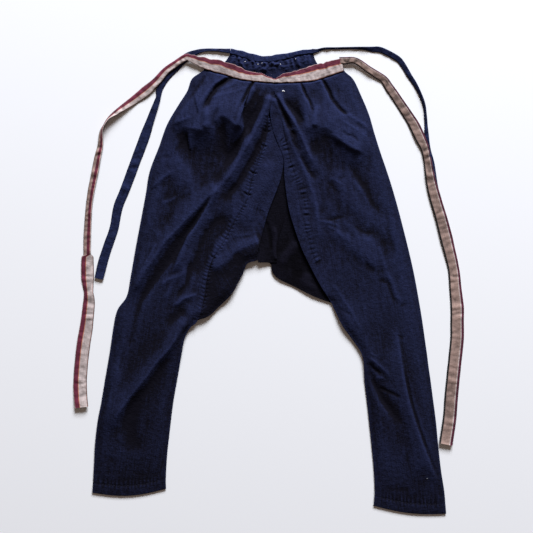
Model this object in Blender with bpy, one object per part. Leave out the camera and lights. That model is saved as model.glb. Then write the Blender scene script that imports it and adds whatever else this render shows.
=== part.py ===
# Monpe trousers laid flat on a surface, face up, waist towards +Y.
# Tables are in millimetres, x to the right and y towards the waist, from the middle of the layout.
from collections import namedtuple

import bmesh
import bpy
import numpy as np

MM = 0.001

# Driving sizes
CLOTH = 1.2 * MM
FRONT_CLOTH = 1.5 * MM
LAYER_GAP = 0.3 * MM
SEAM_GAP = 0.4 * MM
BACK_INSET = 1.0 * MM
STRIPED_WIDTH = 27.0 * MM
NAVY_WIDTH = 20.0 * MM
HEM_DEPTH = 20.0 * MM
HEM_EXTRA = 0.8 * MM
HEM_STEP_RUN = 4.0 * MM

# How the front stands off the back
FRONT_LOFT = 4.0 * MM
LOFT_RUN = 20.0 * MM
FOLD_EDGE_RUN = 18.0 * MM
WAIST_START = 3.0 * MM
WAIST_RUN = 15.0 * MM
STEEPEST = 2.0
SLOPE_STEP = 1.0 * MM
NARROWEST_SEEN = 2.0 * MM

# Mesh counts
STEPS_PER_SECTION = 2
FRONT_COLUMNS = 19
BACK_COLUMNS = 10
GUSSET_COLUMNS = 7
STRIP_COLUMNS = 4
BAND_COLUMNS = 3
SPLINE_STEPS = 6
EDGE_POINTS = 12
TIE_STEP = 11.0 * MM

# Heights of the layers, one on another
BACK_TOP = CLOTH
FRONT_REST = BACK_TOP + LAYER_GAP
TUCK_REST = BACK_TOP + LAYER_GAP
BAND_REST = FRONT_REST + FRONT_CLOTH + LAYER_GAP
OVER_TIE = CLOTH + LAYER_GAP

# Leg sections from the waist to the hem: the side edge and the inner edge of each
Section = namedtuple("Section", "side_x side_y inner_x inner_y")
LEFT_SECTIONS = [
    Section(-124.5, 431, 11, 402),
    Section(-131.5, 418, 11, 393),
    Section(-153.5, 402, 8.5, 376),
    Section(-162.5, 378, 4.5, 352),
    Section(-181.5, 348, -0.5, 326),
    Section(-203.5, 310, -5.5, 280),
    Section(-218.5, 268, -26.5, 234),
    Section(-237.5, 218, -43.5, 198),
    Section(-245.5, 172, -57.5, 160),
    Section(-257.5, 108, -75.5, 114),
    Section(-266.5, 60, -95.5, 76),
    Section(-275.5, 8, -114.5, 38),
    Section(-283.5, -32, -123.5, 2),
    Section(-302.5, -60, -128.5, -36),
    Section(-310.5, -96, -141.5, -80),
    Section(-314.5, -124, -156.5, -95),
    Section(-319.5, -156, -167.5, -116),
    Section(-326.5, -196, -174.5, -152),
    Section(-334.5, -244, -183, -200),
    Section(-341.5, -280, -191, -246),
    Section(-347, -326, -198, -304),
    Section(-349.5, -374, -203, -350),
    Section(-351.5, -408, -205.5, -396),
    Section(-352.5, -425, -205, -417),
]
RIGHT_SECTIONS = [
    Section(148.5, 425, 14, 402),
    Section(152.5, 416, 14, 393),
    Section(169.5, 400, 12.5, 370),
    Section(186.5, 364, 22.5, 334),
    Section(200.5, 330, 28.5, 300),
    Section(211.5, 292, 35.5, 270),
    Section(223.5, 254, 42.5, 240),
    Section(234.5, 222, 52.5, 208),
    Section(245.5, 188, 57.5, 176),
    Section(256.5, 150, 63.5, 142),
    Section(266.5, 112, 72.5, 108),
    Section(278.5, 64, 82.5, 66),
    Section(289.5, 16, 95.5, 30),
    Section(298.5, -32, 109.5, -8),
    Section(306.5, -80, 125.5, -46),
    Section(312.5, -122, 133.5, -64),
    Section(316.5, -150, 148.5, -94),
    Section(319.5, -174, 170.5, -124),
    Section(323, -198, 187.5, -154),
    Section(327.5, -232, 191, -200),
    Section(334, -282, 197, -252),
    Section(339, -334, 203.5, -313),
    Section(344.5, -382, 209, -370),
    Section(351, -424, 211.5, -420),
    Section(354.5, -467, 209.5, -451),
]
# Sections where the gusset seam starts and ends
GUSSET_START = 4
STRIP_START = 2
GUSSET_END = 14
BACK_GUSSET_START = 3

# Bows of the waist and hem edges, the middle's distance out of the straight line
Bow = namedtuple("Bow", "waist hem")
LEFT_BOW = Bow(-6, -10)
RIGHT_BOW = Bow(-6, -7)

# Back panels where they part from the fronts, at the side slits
LEFT_SLIT = [
    Section(-77, 447, 4.5, 437),
    Section(-88, 437, 4.5, 420),
    Section(-116, 412, 4, 395),
    Section(-155, 381, 2.5, 362),
]
RIGHT_SLIT = [
    Section(89, 447, 6, 437),
    Section(98, 433, 6, 420),
    Section(124, 409, 6.8, 395),
    Section(174, 374, 10.5, 360),
]

Point = namedtuple("Point", "x y")
# Folded right edge of the left gusset half, from its tip to the crotch
GUSSET_FOLD = [
    Point(1.1, 324),
    Point(12.1, 284),
    Point(28.5, 244),
    Point(26.1, 212),
    Point(17.5, 184),
    Point(6.5, 156),
    Point(-3.5, 128),
    Point(-10.5, 102),
    Point(-17.5, 74),
    Point(-22.5, 54),
    Point(-24.5, 39),
]
# Free left edge of the right gusset strip, section by section
STRIP_FOLD = [
    Point(9.1, 371),
    Point(3.1, 338),
    Point(7.1, 304),
    Point(19.1, 271),
    Point(29.9, 242),
    Point(31.1, 208),
    Point(35.1, 172),
    Point(41.5, 136),
    Point(50.5, 106),
    Point(64.5, 66),
    Point(80.5, 32),
    Point(101.5, -8),
    Point(123.5, -43),
]
# Crotch edge, from the left leg to the right one
CROTCH_LEFT = [
    Point(-141.5, -80),
    Point(-119.5, -72),
    Point(-98, -52),
    Point(-75.5, -30),
    Point(-61.5, -6),
    Point(-50, 16),
    Point(-42.7, 33),
    Point(-24.5, 39),
]
CROTCH_RIGHT = [
    Point(3.3, 33),
    Point(6.1, 18),
    Point(18.5, 2.8),
    Point(52.5, -14),
    Point(91.3, -33.4),
    Point(125.5, -46),
]
Pair = namedtuple("Pair", "left_x left_y right_x right_y")
TUCK = [
    Pair(27.5, 228, 31.5, 216),
    Pair(12.5, 184, 34.5, 180),
    Pair(-3.5, 144, 35.5, 150),
    Pair(-16.5, 108, 30.5, 120),
    Pair(-22.5, 80, 21.5, 90),
    Pair(-18.5, 58, 17.5, 64),
    Pair(-21.5, 35, 16.5, 35),
]

# Front waistband, upper and lower edge from left to right
Band = namedtuple("Band", "top_x top_y low_x low_y")
FRONT_BAND = [
    Band(-160.5, 451, -161, 437),
    Band(-128.5, 444, -125.5, 421),
    Band(-90, 436, -89.5, 411),
    Band(-59.5, 426, -59, 401.5),
    Band(-41.5, 417, -34, 398),
    Band(-18.5, 413, -14, 396),
    Band(4.5, 404.5, 6, 394.5),
    Band(9.5, 402, 10.5, 394),
    Band(17, 404.5, 22, 394.5),
    Band(30, 411, 37.7, 394.8),
    Band(52.5, 417, 62.5, 395.4),
    Band(76, 425, 88.5, 398),
    Band(101, 431, 114, 405.6),
    Band(121.7, 437.4, 139.7, 414.6),
    Band(144.5, 442.6, 149.5, 418),
]
# Where the band leaves the front panel and comes down to the surface
BAND_END_X = -125.0 * MM
BAND_TIP_X = -160.0 * MM

# Folds of the front: height, reach on the left and right of the path, and the run in and out at its ends
Fold = namedtuple("Fold", "name height left right fade_in fade_out path")
FOLDS = [
    Fold("hip swell left", 11, 85, 34, 30, 30,
         [(-172, 322), (-129.5, 305), (-93.5, 306), (-55.5, 309), (-36, 316)]),
    Fold("pleat 1", -7, 9, 9, 4, 20,
         [(-73.5, 405), (-97.5, 390), (-113.5, 368), (-127.5, 350), (-132.5, 308)]),
    Fold("pleat 2", -6, 8, 8, 4, 18,
         [(-27.5, 396), (-37.5, 386), (-45.5, 364), (-57.5, 344), (-65.5, 318)]),
    Fold("long ridge left", 11, 15, 24, 16, 60,
         [(2.5, 368), (-11.5, 312), (-41.5, 252), (-85.5, 192),
          (-131.5, 136), (-183.5, 82), (-239.5, 22), (-269.5, -14)]),
    Fold("valley beside it", -5, 15, 15, 12, 24,
         [(-9.5, 356), (-29.5, 322), (-51.5, 296), (-69.5, 268)]),
    Fold("second ridge left", 6, 12, 16, 20, 20,
         [(-113.5, 164), (-133.5, 128), (-153.5, 96), (-171.5, 60), (-179.5, 28)]),
    Fold("thigh valley left", -4, 20, 20, 20, 20,
         [(-193.5, 36), (-217.5, 0), (-233.5, -40)]),
    Fold("knee crease left", 4, 8, 10, 8, 8,
         [(-195.5, -50), (-157.5, -34)]),
    Fold("knee hollow left", -4, 18, 18, 14, 14,
         [(-159.5, -56), (-207.5, -96)]),
    Fold("shin ridge left", 9, 16, 30, 14, 40,
         [(-149.5, -84), (-191.5, -128), (-217.5, -154),
          (-247.5, -210), (-289.5, -280), (-309.5, -312)]),
    Fold("side trough left", -3, 10, 10, 20, 30,
         [(-275.5, -92), (-299.5, -164), (-313.5, -196), (-320.5, -232)]),
    Fold("calf dent left", -3, 14, 14, 16, 16,
         [(-243.5, -308), (-271.5, -348), (-311.5, -316)]),
    Fold("hip swell right", 10, 80, 30, 30, 24,
         [(58, 332), (86.5, 306), (110.5, 308), (128.5, 304), (144.5, 280), (190.5, 254)]),
    Fold("pleat 3", -6, 8, 8, 4, 20,
         [(68.5, 392), (78.5, 364), (86.5, 340), (90.5, 320)]),
    Fold("pleat 4", -8, 9, 9, 4, 18,
         [(108.5, 402), (122.5, 376), (134.5, 352), (156.5, 328)]),
    Fold("long ridge right", 9, 22, 11, 16, 40,
         [(16.5, 366), (30.5, 340), (46.5, 312), (72.5, 260), (98.5, 204), (112.5, 176)]),
    Fold("valley right of it", -4, 14, 14, 12, 24,
         [(42.5, 352), (70.5, 316), (82.5, 290), (98.5, 260)]),
    Fold("centre pit", -6, 8, 8, 8, 20,
         [(9.5, 368), (22.5, 344), (38.5, 316), (46.5, 292)]),
    Fold("gusset ridge", 4, 10, 8, 14, 40,
         [(24.5, 308), (50.5, 260), (78.5, 204), (94.5, 152), (104.5, 80), (116.5, 36)]),
    Fold("hip crease right", -3, 8, 8, 6, 8,
         [(154.5, 292), (178.5, 278)]),
    Fold("thigh crease right", -3, 8, 8, 8, 8,
         [(114.5, 123), (152.5, 128)]),
    Fold("side ridge right", 6, 22, 9, 30, 30,
         [(266.5, -60), (266.5, -112), (284.5, -184), (300.5, -252), (324.5, -326), (344.5, -396)]),
    Fold("shin ridge right", 6, 30, 13, 12, 24,
         [(196.5, -160), (206.5, -184), (224.5, -216), (244.5, -248), (278.5, -292)]),
]
# Folds of the tuck and of the back gusset in the dark wedge
TUCK_FOLDS = [
    Fold("tuck fold", 3, 8, 8, 10, 10,
         [(8, 130), (4, 92), (2, 48)]),
]
BACK_GUSSET_FOLDS = [
    Fold("back gusset fold", 3, 11, 11, 14, 14,
         [(62, 76), (48, 44), (38, 14)]),
]

# Gathers of the back panel below its waistband
GATHER_PITCH = 17.0 * MM
GATHER_HEIGHT = 1.4 * MM
GATHER_START = 8.0 * MM
GATHER_FULL = 14.0 * MM
GATHER_FADE = 22.0 * MM
GATHER_GONE = 34.0 * MM
GATHER_MARGIN = 12.0 * MM

# Ties and back band: middle line, width seen from above, share of the hidden width that stands up
# (positive on the left of the path), and height of the lower edge
Tie = namedtuple("Tie", "x y seen stands base")
TIE_FRONT_LEFT = [
    Tie(-163.6, 444, 13.4, 0, 1.5),
    Tie(-167, 443.6, 13.4, 0, 1.5),
    Tie(-184.5, 432.6, 12.6, 0, 1.5),
    Tie(-205.5, 417.4, 14, 0, 1.5),
    Tie(-225.5, 395.2, 17, 0, 1.5),
    Tie(-246.5, 376.6, 20.5, 0, 1.5),
    Tie(-265.9, 362, 18, 0, 0.4),
    Tie(-288, 346.4, 14.4, 0.2, 0),
    Tie(-307, 332.6, 10.5, 0.35, 0),
    Tie(-319.5, 322.8, 6, 0.45, 0),
    Tie(-328.5, 309, 4.5, 0.5, 0),
    Tie(-334.5, 294, 8, 0.35, 0),
    Tie(-336, 270, 11.5, 0.2, 0),
    Tie(-341.1, 248, 13.4, 0.15, 0),
    Tie(-346.3, 220, 13.2, 0.15, 0),
    Tie(-357.5, 160, 11.4, 0.15, 0),
    Tie(-362, 98, 12.6, 0.1, 0),
    Tie(-361, 62, 18, 0, 0),
    Tie(-362.5, 26, 25.4, 0, 0),
    Tie(-362, 2, 25, 0, 0),
    Tie(-360, -24, 18.5, 0.15, 0),
    Tie(-359.5, -46, 23.5, 0, 0),
    Tie(-364.5, -92, 26, 0, 0),
    Tie(-369.8, -124, 26.4, 0, 0),
    Tie(-374.3, -162, 27, 0, 0),
    Tie(-377.1, -201, 27, 0, 0),
    Tie(-376.3, -230, 26.8, 0, 0),
    Tie(-373.4, -254, 26.4, 0, 0),
]
TIE_FRONT_RIGHT = [
    Tie(141, 437.8, 14, 0, 1.8),
    Tie(150, 437.8, 14, 0, 1.6),
    Tie(173.5, 437.6, 12.6, 0, 0.4),
    Tie(198.5, 421, 13.6, 0.1, 0),
    Tie(216.5, 409.6, 15.5, 0.1, 0),
    Tie(230.9, 400, 15, 0.15, 0),
    Tie(240, 386, 17, 0.15, 0),
    Tie(252.5, 368, 18.4, 0.15, 0),
    Tie(278.9, 328.4, 20, 0.15, 0),
    Tie(290.9, 309, 21, 0, 0.8),
    Tie(302.5, 284, 20.8, 0, 1.5),
    Tie(312, 263.4, 17, 0, 1.5),
    Tie(317.3, 238.6, 16, 0, 1.5),
    Tie(323.9, 198, 21, 0, 1.5),
    Tie(333.1, 162, 24, 0, 1.5),
    Tie(343.9, 126, 24.2, 0, 1.5),
    Tie(352.5, 93, 24.4, 0, 1.5),
    Tie(359.9, 63, 23.4, 0, 1.5),
    Tie(369.5, 22, 22.4, 0, 0.4),
    Tie(373.3, -18.4, 24.6, 0, 0),
    Tie(376.7, -54, 26.8, 0, 0),
    Tie(376.7, -84, 27, 0, 0),
    Tie(376.5, -118, 26.8, 0, 0),
    Tie(372.7, -156, 27, 0, 0),
    Tie(368.3, -198, 27, 0, 0),
    Tie(364.5, -238, 27, 0, 0),
    Tie(361.9, -274, 27, 0, 0),
    Tie(355.5, -316, 27, 0, 0),
    Tie(353.3, -328, 27, 0, 0),
]
TIE_BACK_LEFT = [
    Tie(-78.6, 457.6, 9, 0, 1.5),
    Tie(-86, 458, 8, 0.3, 0.6),
    Tie(-103.5, 459.4, 6, 0.6, 0),
    Tie(-127.5, 459.4, 6, 0.4, 0),
    Tie(-145.5, 455, 10, 0, 0),
    Tie(-163.5, 446, 16, 0, 0),
    Tie(-185.5, 427, 18, 0, 0),
    Tie(-205.5, 407, 18, 0, 0),
    Tie(-217.5, 385, 15, 0, 0),
    Tie(-220.5, 366, 10, 0.3, 0),
    Tie(-223.5, 356, 12, 0.3, 0),
    Tie(-236.3, 320, 16, 0.2, 0),
    Tie(-249.9, 281, 19.6, 0, 0),
    Tie(-264.5, 242, 20, 0, 0),
    Tie(-275.9, 211, 20, 0, 0),
    Tie(-288.3, 178, 20, 0, 0),
    Tie(-301.1, 146, 19, 0, 0),
    Tie(-309.1, 104, 19, 0, 0),
    Tie(-320.3, 71, 18.5, 0, 0),
    Tie(-330.6, 39, 18, 0, 0),
    Tie(-339.3, 2.4, 17.4, 0, 0),
]
TIE_BACK_RIGHT = [
    Tie(89.4, 456.9, 9, 0, 1.5),
    Tie(97, 458.2, 6, 0.5, 0.4),
    Tie(111.7, 462.4, 4, 0.95, 0),
    Tie(136.5, 463, 3.6, 0.95, 0),
    Tie(162.5, 463.6, 3.6, 0.95, 0),
    Tie(188.5, 463, 6, 0.8, 0),
    Tie(206.5, 461, 12.6, 0.4, 0),
    Tie(218.5, 460.8, 12.8, 0.3, 0),
    Tie(231.7, 456.6, 13, 0.3, 0),
    Tie(256.5, 443, 14, 0.3, 0),
    Tie(267.5, 431, 14, 0.3, 0),
    Tie(282.5, 406, 11, 0.5, 0),
    Tie(291.7, 392, 8, 0.8, 0),
    Tie(301.9, 372.4, 5.2, 0.95, 0),
    Tie(309.5, 352, 4.8, 0.95, 0),
    Tie(312.5, 334, 4, 0.95, 0),
    Tie(314.7, 306, 7, 0, 0),
    Tie(316.5, 264, 14, 0, 0),
    Tie(323.5, 234, 16, 0, 0),
    Tie(330.5, 200, 18, 0, 0),
    Tie(339.5, 168, 18, 0, 0),
    Tie(348.5, 132, 18, 0, 0),
    Tie(356.5, 96, 18, 0, 0),
    Tie(362.5, 64, 18, 0, 0),
]
BACK_BAND = [
    Tie(-77, 457.4, 9.2, 0, 1.5),
    Tie(-54.3, 451.6, 12.4, 0, 1.5),
    Tie(-24.5, 442.8, 14, 0, 1.5),
    Tie(-2.5, 441.4, 13, 0, 1.5),
    Tie(18.5, 444.4, 11.6, 0, 1.5),
    Tie(44.5, 449.2, 11.2, 0, 1.5),
    Tie(62.5, 454.2, 10, 0, 1.5),
    Tie(87.5, 456.8, 10.4, 0, 1.5),
]


def smooth_table(rows, steps):
    """Catmull-Rom curve through the rows of a table, with a number of steps between rows."""
    points = np.asarray(rows, dtype=float)
    before = np.vstack([2 * points[0] - points[1], points[:-1]])
    after = np.vstack([points[1:], 2 * points[-1] - points[-2]])
    slopes = (after - before) / 2
    share = np.arange(steps) / steps
    share = share[:, None]
    pieces = []
    for start, end, slope_in, slope_out in zip(points[:-1], points[1:], slopes[:-1], slopes[1:]):
        cubic = (2 * share**3 - 3 * share**2 + 1) * start + (share**3 - 2 * share**2 + share) * slope_in
        cubic = cubic + (3 * share**2 - 2 * share**3) * end + (share**3 - share**2) * slope_out
        pieces.append(cubic)
    return np.vstack(pieces + [points[-1:]])


def lengths_along(path):
    """Distance from the start of a path to each of its points."""
    steps = np.linalg.norm(np.diff(path[:, :2], axis=0), axis=1)
    return np.concatenate([[0.0], np.cumsum(steps)])


def spread(path, count):
    """The same path with its points evenly spaced."""
    along = lengths_along(path)
    stations = np.linspace(0, along[-1], count)
    return np.column_stack([np.interp(stations, along, column) for column in path.T])


def ease(value, start, end):
    """Smooth step from 0 at start to 1 at end."""
    share = np.clip((value - start) / (end - start), 0, 1)
    return share * share * (3 - 2 * share)


def nearest(points, path):
    """Distance, side (positive on the left) and run of each point along a path."""
    distance = np.full(len(points), np.inf)
    side = np.zeros(len(points))
    run = np.zeros(len(points))
    along = lengths_along(path)
    for index in range(len(path) - 1):
        start = path[index]
        span = path[index + 1] - start
        length = np.hypot(*span)
        offset = points - start
        share = np.clip(offset @ span / length**2, 0, 1)
        gap = np.linalg.norm(offset - share[:, None] * span, axis=1)
        closer = gap < distance
        turn = span[0] * offset[:, 1] - span[1] * offset[:, 0]
        distance[closer] = gap[closer]
        side[closer] = np.sign(turn)[closer]
        run[closer] = (along[index] + share * length)[closer]
    return distance, side, run


def fold_height(points, fold):
    """Height of one fold over each point: a round crest that fades out at both ends."""
    path = smooth_table(fold.path, SPLINE_STEPS) * MM
    distance, side, run = nearest(points, path)
    reach = np.where(side > 0, fold.left, fold.right) * MM
    across = 0.5 + 0.5 * np.cos(np.pi * np.minimum(distance / reach, 1))
    total = lengths_along(path)[-1]
    ends = ease(run, 0, fold.fade_in * MM) * ease(total - run, 0, fold.fade_out * MM)
    return fold.height * MM * across * ends


def side_column(sections):
    return np.array([(row.side_x, row.side_y) for row in sections]) * MM


def inner_column(sections):
    return np.array([(row.inner_x, row.inner_y) for row in sections]) * MM


def curve(rows):
    """A table of places as a smooth line in metres."""
    return smooth_table(rows, SPLINE_STEPS) * MM


def hem_edge(sections, bow):
    """Hem line from the side to the inner edge, bowed at its middle."""
    last = sections[-1]
    share = np.linspace(0, 1, EDGE_POINTS)[:, None]
    line = (1 - share) * [last.side_x, last.side_y] + share * [last.inner_x, last.inner_y]
    line[:, 1] += (bow.hem * np.sin(np.pi * share))[:, 0]
    return line * MM


def free_edges():
    """Every edge of the laid garment that lies open on the surface."""
    edges = []
    for sections, bow in ((LEFT_SECTIONS, LEFT_BOW), (RIGHT_SECTIONS, RIGHT_BOW)):
        edges.append(smooth_table(side_column(sections)[1:], SPLINE_STEPS))
        edges.append(smooth_table(inner_column(sections)[GUSSET_END:], SPLINE_STEPS))
        edges.append(hem_edge(sections, bow))
    edges.append(curve(CROTCH_LEFT + CROTCH_RIGHT))
    return edges


FREE_EDGES = free_edges()
BAND_LOWER_EDGE = curve([(row.low_x, row.low_y) for row in FRONT_BAND])


def edge_distance(points):
    """Distance of each point from the nearest open edge."""
    return np.min([nearest(points, edge)[0] for edge in FREE_EDGES], axis=0)


def waist_ease(points):
    """0 under the front waistband, rising to 1 a little below it."""
    distance, side, _ = nearest(points, BAND_LOWER_EDGE)
    below = np.where(side < 0, distance, 0)
    return ease(below, WAIST_START, WAIST_RUN)


def front_height(points):
    """Underside of the front cloth above the surface."""
    edge = edge_distance(points)
    loft = FRONT_LOFT * (1 - np.exp(-(edge / LOFT_RUN) ** 2))
    folds = sum(fold_height(points, fold) for fold in FOLDS)
    folds = folds * ease(edge, 0, FOLD_EDGE_RUN)
    return FRONT_REST + np.maximum(loft + folds, 0) * waist_ease(points)


def inner_height(rest, folds):
    """Underside of a layer that shows between the gusset halves."""
    def height(points):
        edge = ease(edge_distance(points), 0, FOLD_EDGE_RUN)
        return rest + edge * sum(fold_height(points, fold) for fold in folds)
    return height


def back_height(points):
    """Underside of the back cloth: flat on the surface, gathered below its waistband."""
    band = curve([(row.x, row.y) for row in BACK_BAND])
    distance, side, run = nearest(points, band)
    below = np.where(side < 0, distance, 0)
    wave = 0.5 - 0.5 * np.cos(2 * np.pi * run / GATHER_PITCH)
    fade = ease(below, GATHER_START, GATHER_FULL) * (1 - ease(below, GATHER_FADE, GATHER_GONE))
    length = lengths_along(band)[-1]
    margin = ease(run, 0, GATHER_MARGIN) * ease(length - run, 0, GATHER_MARGIN)
    return GATHER_HEIGHT * wave * fade * margin


def bow_of(edge, columns):
    """How far an edge departs from the straight line between its ends."""
    share = np.linspace(0, 1, columns + 1)[:, None]
    return spread(edge, columns + 1) - (1 - share) * edge[0] - share * edge[-1]


def patch(left, right, columns, top=None, bottom=None):
    """Plan of a panel between its four edges, as rows of points from the waist down."""
    share = np.linspace(0, 1, columns + 1)[None, :, None]
    down = np.linspace(0, 1, len(left))[:, None, None]
    plan = (1 - share) * left[:, None, :] + share * right[:, None, :]
    if top is not None:
        plan = plan + (1 - down) * bow_of(top, columns)[None]
    if bottom is not None:
        plan = plan + down * bow_of(bottom, columns)[None]
    return plan


def inset_columns(left, right, gap):
    """Draws both edges of a panel in along its sections."""
    across = right - left
    across = across / np.linalg.norm(across, axis=1)[:, None]
    return left + across * gap, right - across * gap


def cotton(name, colour, roughness):
    material = bpy.data.materials.new(name)
    material.use_nodes = True
    shader = material.node_tree.nodes["Principled BSDF"]
    shader.inputs["Base Color"].default_value = (*colour, 1.0)
    shader.inputs["Roughness"].default_value = roughness
    shader.inputs["Metallic"].default_value = 0.0
    material.diffuse_color = (*colour, 1.0)
    return material


def solid_from_layers(name, lower, upper, material):
    """One closed cloth wall between two grids of points, rows by columns."""
    rows, columns = lower.shape[:2]
    lower = lower.reshape(-1, 3)
    upper = upper.reshape(-1, 3)
    sheet = bmesh.new()
    slot = sheet.verts.layers.int.new("slot")
    bmesh.ops.create_grid(sheet, x_segments=columns - 1, y_segments=rows - 1, size=0.5)
    sheet.verts.ensure_lookup_table()
    for index, vert in enumerate(sheet.verts):
        vert[slot] = index
        vert.co = lower[index]
    raised = bmesh.ops.extrude_face_region(sheet, geom=sheet.faces[:])
    for vert in raised["geom"]:
        if isinstance(vert, bmesh.types.BMVert):
            vert.co = upper[vert[slot]]
    bmesh.ops.triangulate(sheet, faces=sheet.faces[:])
    bmesh.ops.recalc_face_normals(sheet, faces=sheet.faces[:])
    mesh = bpy.data.meshes.new(name)
    sheet.to_mesh(mesh)
    sheet.free()
    mesh.materials.append(material)
    mesh.shade_smooth()
    thing = bpy.data.objects.new(name, mesh)
    bpy.context.scene.collection.objects.link(thing)
    return thing


def panel(name, plan, height, thickness, material, extra=None):
    """Cloth wall over a plan: its underside at a height, its top a cloth thickness above."""
    rows, columns = plan.shape[:2]
    points = plan.reshape(-1, 2)
    low = height(points)
    if extra is not None:
        low = low + extra.reshape(-1)
    step_x = [SLOPE_STEP, 0]
    step_y = [0, SLOPE_STEP]
    slope_x = (height(points + step_x) - height(points - step_x)) / (2 * SLOPE_STEP)
    slope_y = (height(points + step_y) - height(points - step_y)) / (2 * SLOPE_STEP)
    stretch = np.minimum(np.sqrt(1 + slope_x**2 + slope_y**2), STEEPEST)
    lower = np.column_stack([points, low]).reshape(rows, columns, 3)
    upper = np.column_stack([points, low + thickness * stretch]).reshape(rows, columns, 3)
    return solid_from_layers(name, lower, upper, material)


def ribbon(name, rows, width, step, material):
    """Flat tie along its middle line, with one edge standing up where it is turned."""
    table = smooth_table(rows, SPLINE_STEPS)
    marks = np.arange(len(table)) / SPLINE_STEPS
    for column in range(2, len(Tie._fields)):
        table[:, column] = np.interp(marks, np.arange(len(rows)), [row[column] for row in rows])
    table = spread(table, int(lengths_along(table)[-1] * MM / step) + 2)
    middle = table[:, :2] * MM
    seen = np.clip(table[:, 2] * MM, NARROWEST_SEEN, width)
    hidden = np.sqrt(width**2 - seen**2)
    rise = np.clip(table[:, 3], -1, 1) * hidden
    base = np.maximum(table[:, 4], 0) * MM
    ahead = np.gradient(middle, axis=0)
    ahead = ahead / np.linalg.norm(ahead, axis=1)[:, None]
    left = np.column_stack([-ahead[:, 1], ahead[:, 0]])
    tilt = np.arctan2(rise, seen)
    centre_height = base + np.abs(rise) / 2 + CLOTH / 2 * np.cos(tilt)
    reach = np.column_stack([left * seen[:, None] / 2, rise / 2])
    face = np.column_stack([-left * np.sin(tilt)[:, None], np.cos(tilt)]) * CLOTH / 2
    centre = np.column_stack([middle, centre_height])
    lower = np.stack([centre + reach - face, centre - reach - face], axis=1)
    upper = np.stack([centre + reach + face, centre - reach + face], axis=1)
    return solid_from_layers(name, lower, upper, material)


def waist_edge(start, end, bow):
    """Waist line from the side to the middle, bowed at its middle."""
    share = np.linspace(0, 1, EDGE_POINTS)[:, None]
    line = (1 - share) * start + share * end
    line[:, 1] += (bow.waist * MM * np.sin(np.pi * share))[:, 0]
    return line


def hem_swell(plan):
    """The turned-up hem lifts the cloth by its second layer."""
    bottom = plan[-1][None]
    depth = np.linalg.norm(plan - bottom, axis=2)
    return HEM_EXTRA * (1 - ease(depth, HEM_DEPTH - HEM_STEP_RUN, HEM_DEPTH))


def build_fronts(indigo):
    """Both front panels, with the columns that the gusset pieces share."""
    columns = {}
    setups = (
        ("front_left", LEFT_SECTIONS, LEFT_BOW),
        ("front_right", RIGHT_SECTIONS, RIGHT_BOW),
    )
    for name, sections, bow in setups:
        side = smooth_table(side_column(sections), STEPS_PER_SECTION)
        inner = smooth_table(inner_column(sections), STEPS_PER_SECTION)
        columns[name] = inner
        side, inner = inset_columns(side, inner, SEAM_GAP / 2)
        waist = waist_edge(side[0], inner[0], bow)
        plan = patch(side, inner, FRONT_COLUMNS, waist, hem_edge(sections, bow))
        panel(name, plan, front_height, FRONT_CLOTH, indigo, hem_swell(plan))
    return columns


def build_gussets(columns, indigo):
    """The two front halves, the tuck between them and the back gusset."""
    steps = STEPS_PER_SECTION
    seam = columns["front_left"][GUSSET_START * steps:GUSSET_END * steps + 1]
    fold = smooth_table(GUSSET_FOLD, steps) * MM
    left, right = inset_columns(seam, fold, SEAM_GAP / 2)
    plan = patch(left, right, GUSSET_COLUMNS, bottom=curve(CROTCH_LEFT))
    panel("gusset_front_left", plan, front_height, FRONT_CLOTH, indigo)

    seam = columns["front_right"][STRIP_START * steps:GUSSET_END * steps + 1]
    fold = smooth_table(STRIP_FOLD, steps) * MM
    left, right = inset_columns(fold, seam, SEAM_GAP / 2)
    panel("gusset_front_right", patch(left, right, STRIP_COLUMNS), front_height, FRONT_CLOTH, indigo)

    left = curve([(row.left_x, row.left_y) for row in TUCK])
    right = curve([(row.right_x, row.right_y) for row in TUCK])
    rows = steps * len(TUCK)
    plan = patch(spread(left, rows), spread(right, rows), STRIP_COLUMNS)
    panel("gusset_tuck", plan, inner_height(TUCK_REST, TUCK_FOLDS), CLOTH, indigo)


def back_columns(sections, slit):
    """Side and inner column of a back panel: its own slit, then the front's edges at whole sections."""
    rows = slit + sections[GUSSET_START:]
    side = smooth_table(side_column(rows), STEPS_PER_SECTION)
    inner = smooth_table(inner_column(rows), STEPS_PER_SECTION)
    fine = BACK_GUSSET_START * STEPS_PER_SECTION
    kept = list(range(fine)) + list(range(fine, len(side), STEPS_PER_SECTION))
    return side[kept], inner[kept]


def build_backs(indigo):
    """Back panels and the back gusset between them."""
    gusset_edges = []
    setups = (
        ("back_left", LEFT_SECTIONS, LEFT_SLIT, LEFT_BOW),
        ("back_right", RIGHT_SECTIONS, RIGHT_SLIT, RIGHT_BOW),
    )
    for name, sections, slit, bow in setups:
        side, inner = back_columns(sections, slit)
        start = BACK_GUSSET_START * STEPS_PER_SECTION
        end = start + GUSSET_END - BACK_GUSSET_START
        gusset_edges.append(inner[start:end + 1])
        drawn = np.where(np.arange(len(inner)) < end, SEAM_GAP / 2, BACK_INSET)[:, None]
        side, _ = inset_columns(side, inner, BACK_INSET)
        _, inner = inset_columns(side, inner, drawn)
        hem = hem_edge(sections, bow) + [0, BACK_INSET]
        panel(name, patch(side, inner, BACK_COLUMNS, bottom=hem), back_height, CLOTH, indigo)
    left, right = inset_columns(*gusset_edges, SEAM_GAP / 2)
    crotch = curve(CROTCH_LEFT + CROTCH_RIGHT)
    plan = patch(left, right, 2 * GUSSET_COLUMNS, bottom=crotch)
    panel("gusset_back", plan, inner_height(0, BACK_GUSSET_FOLDS), CLOTH, indigo)


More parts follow.
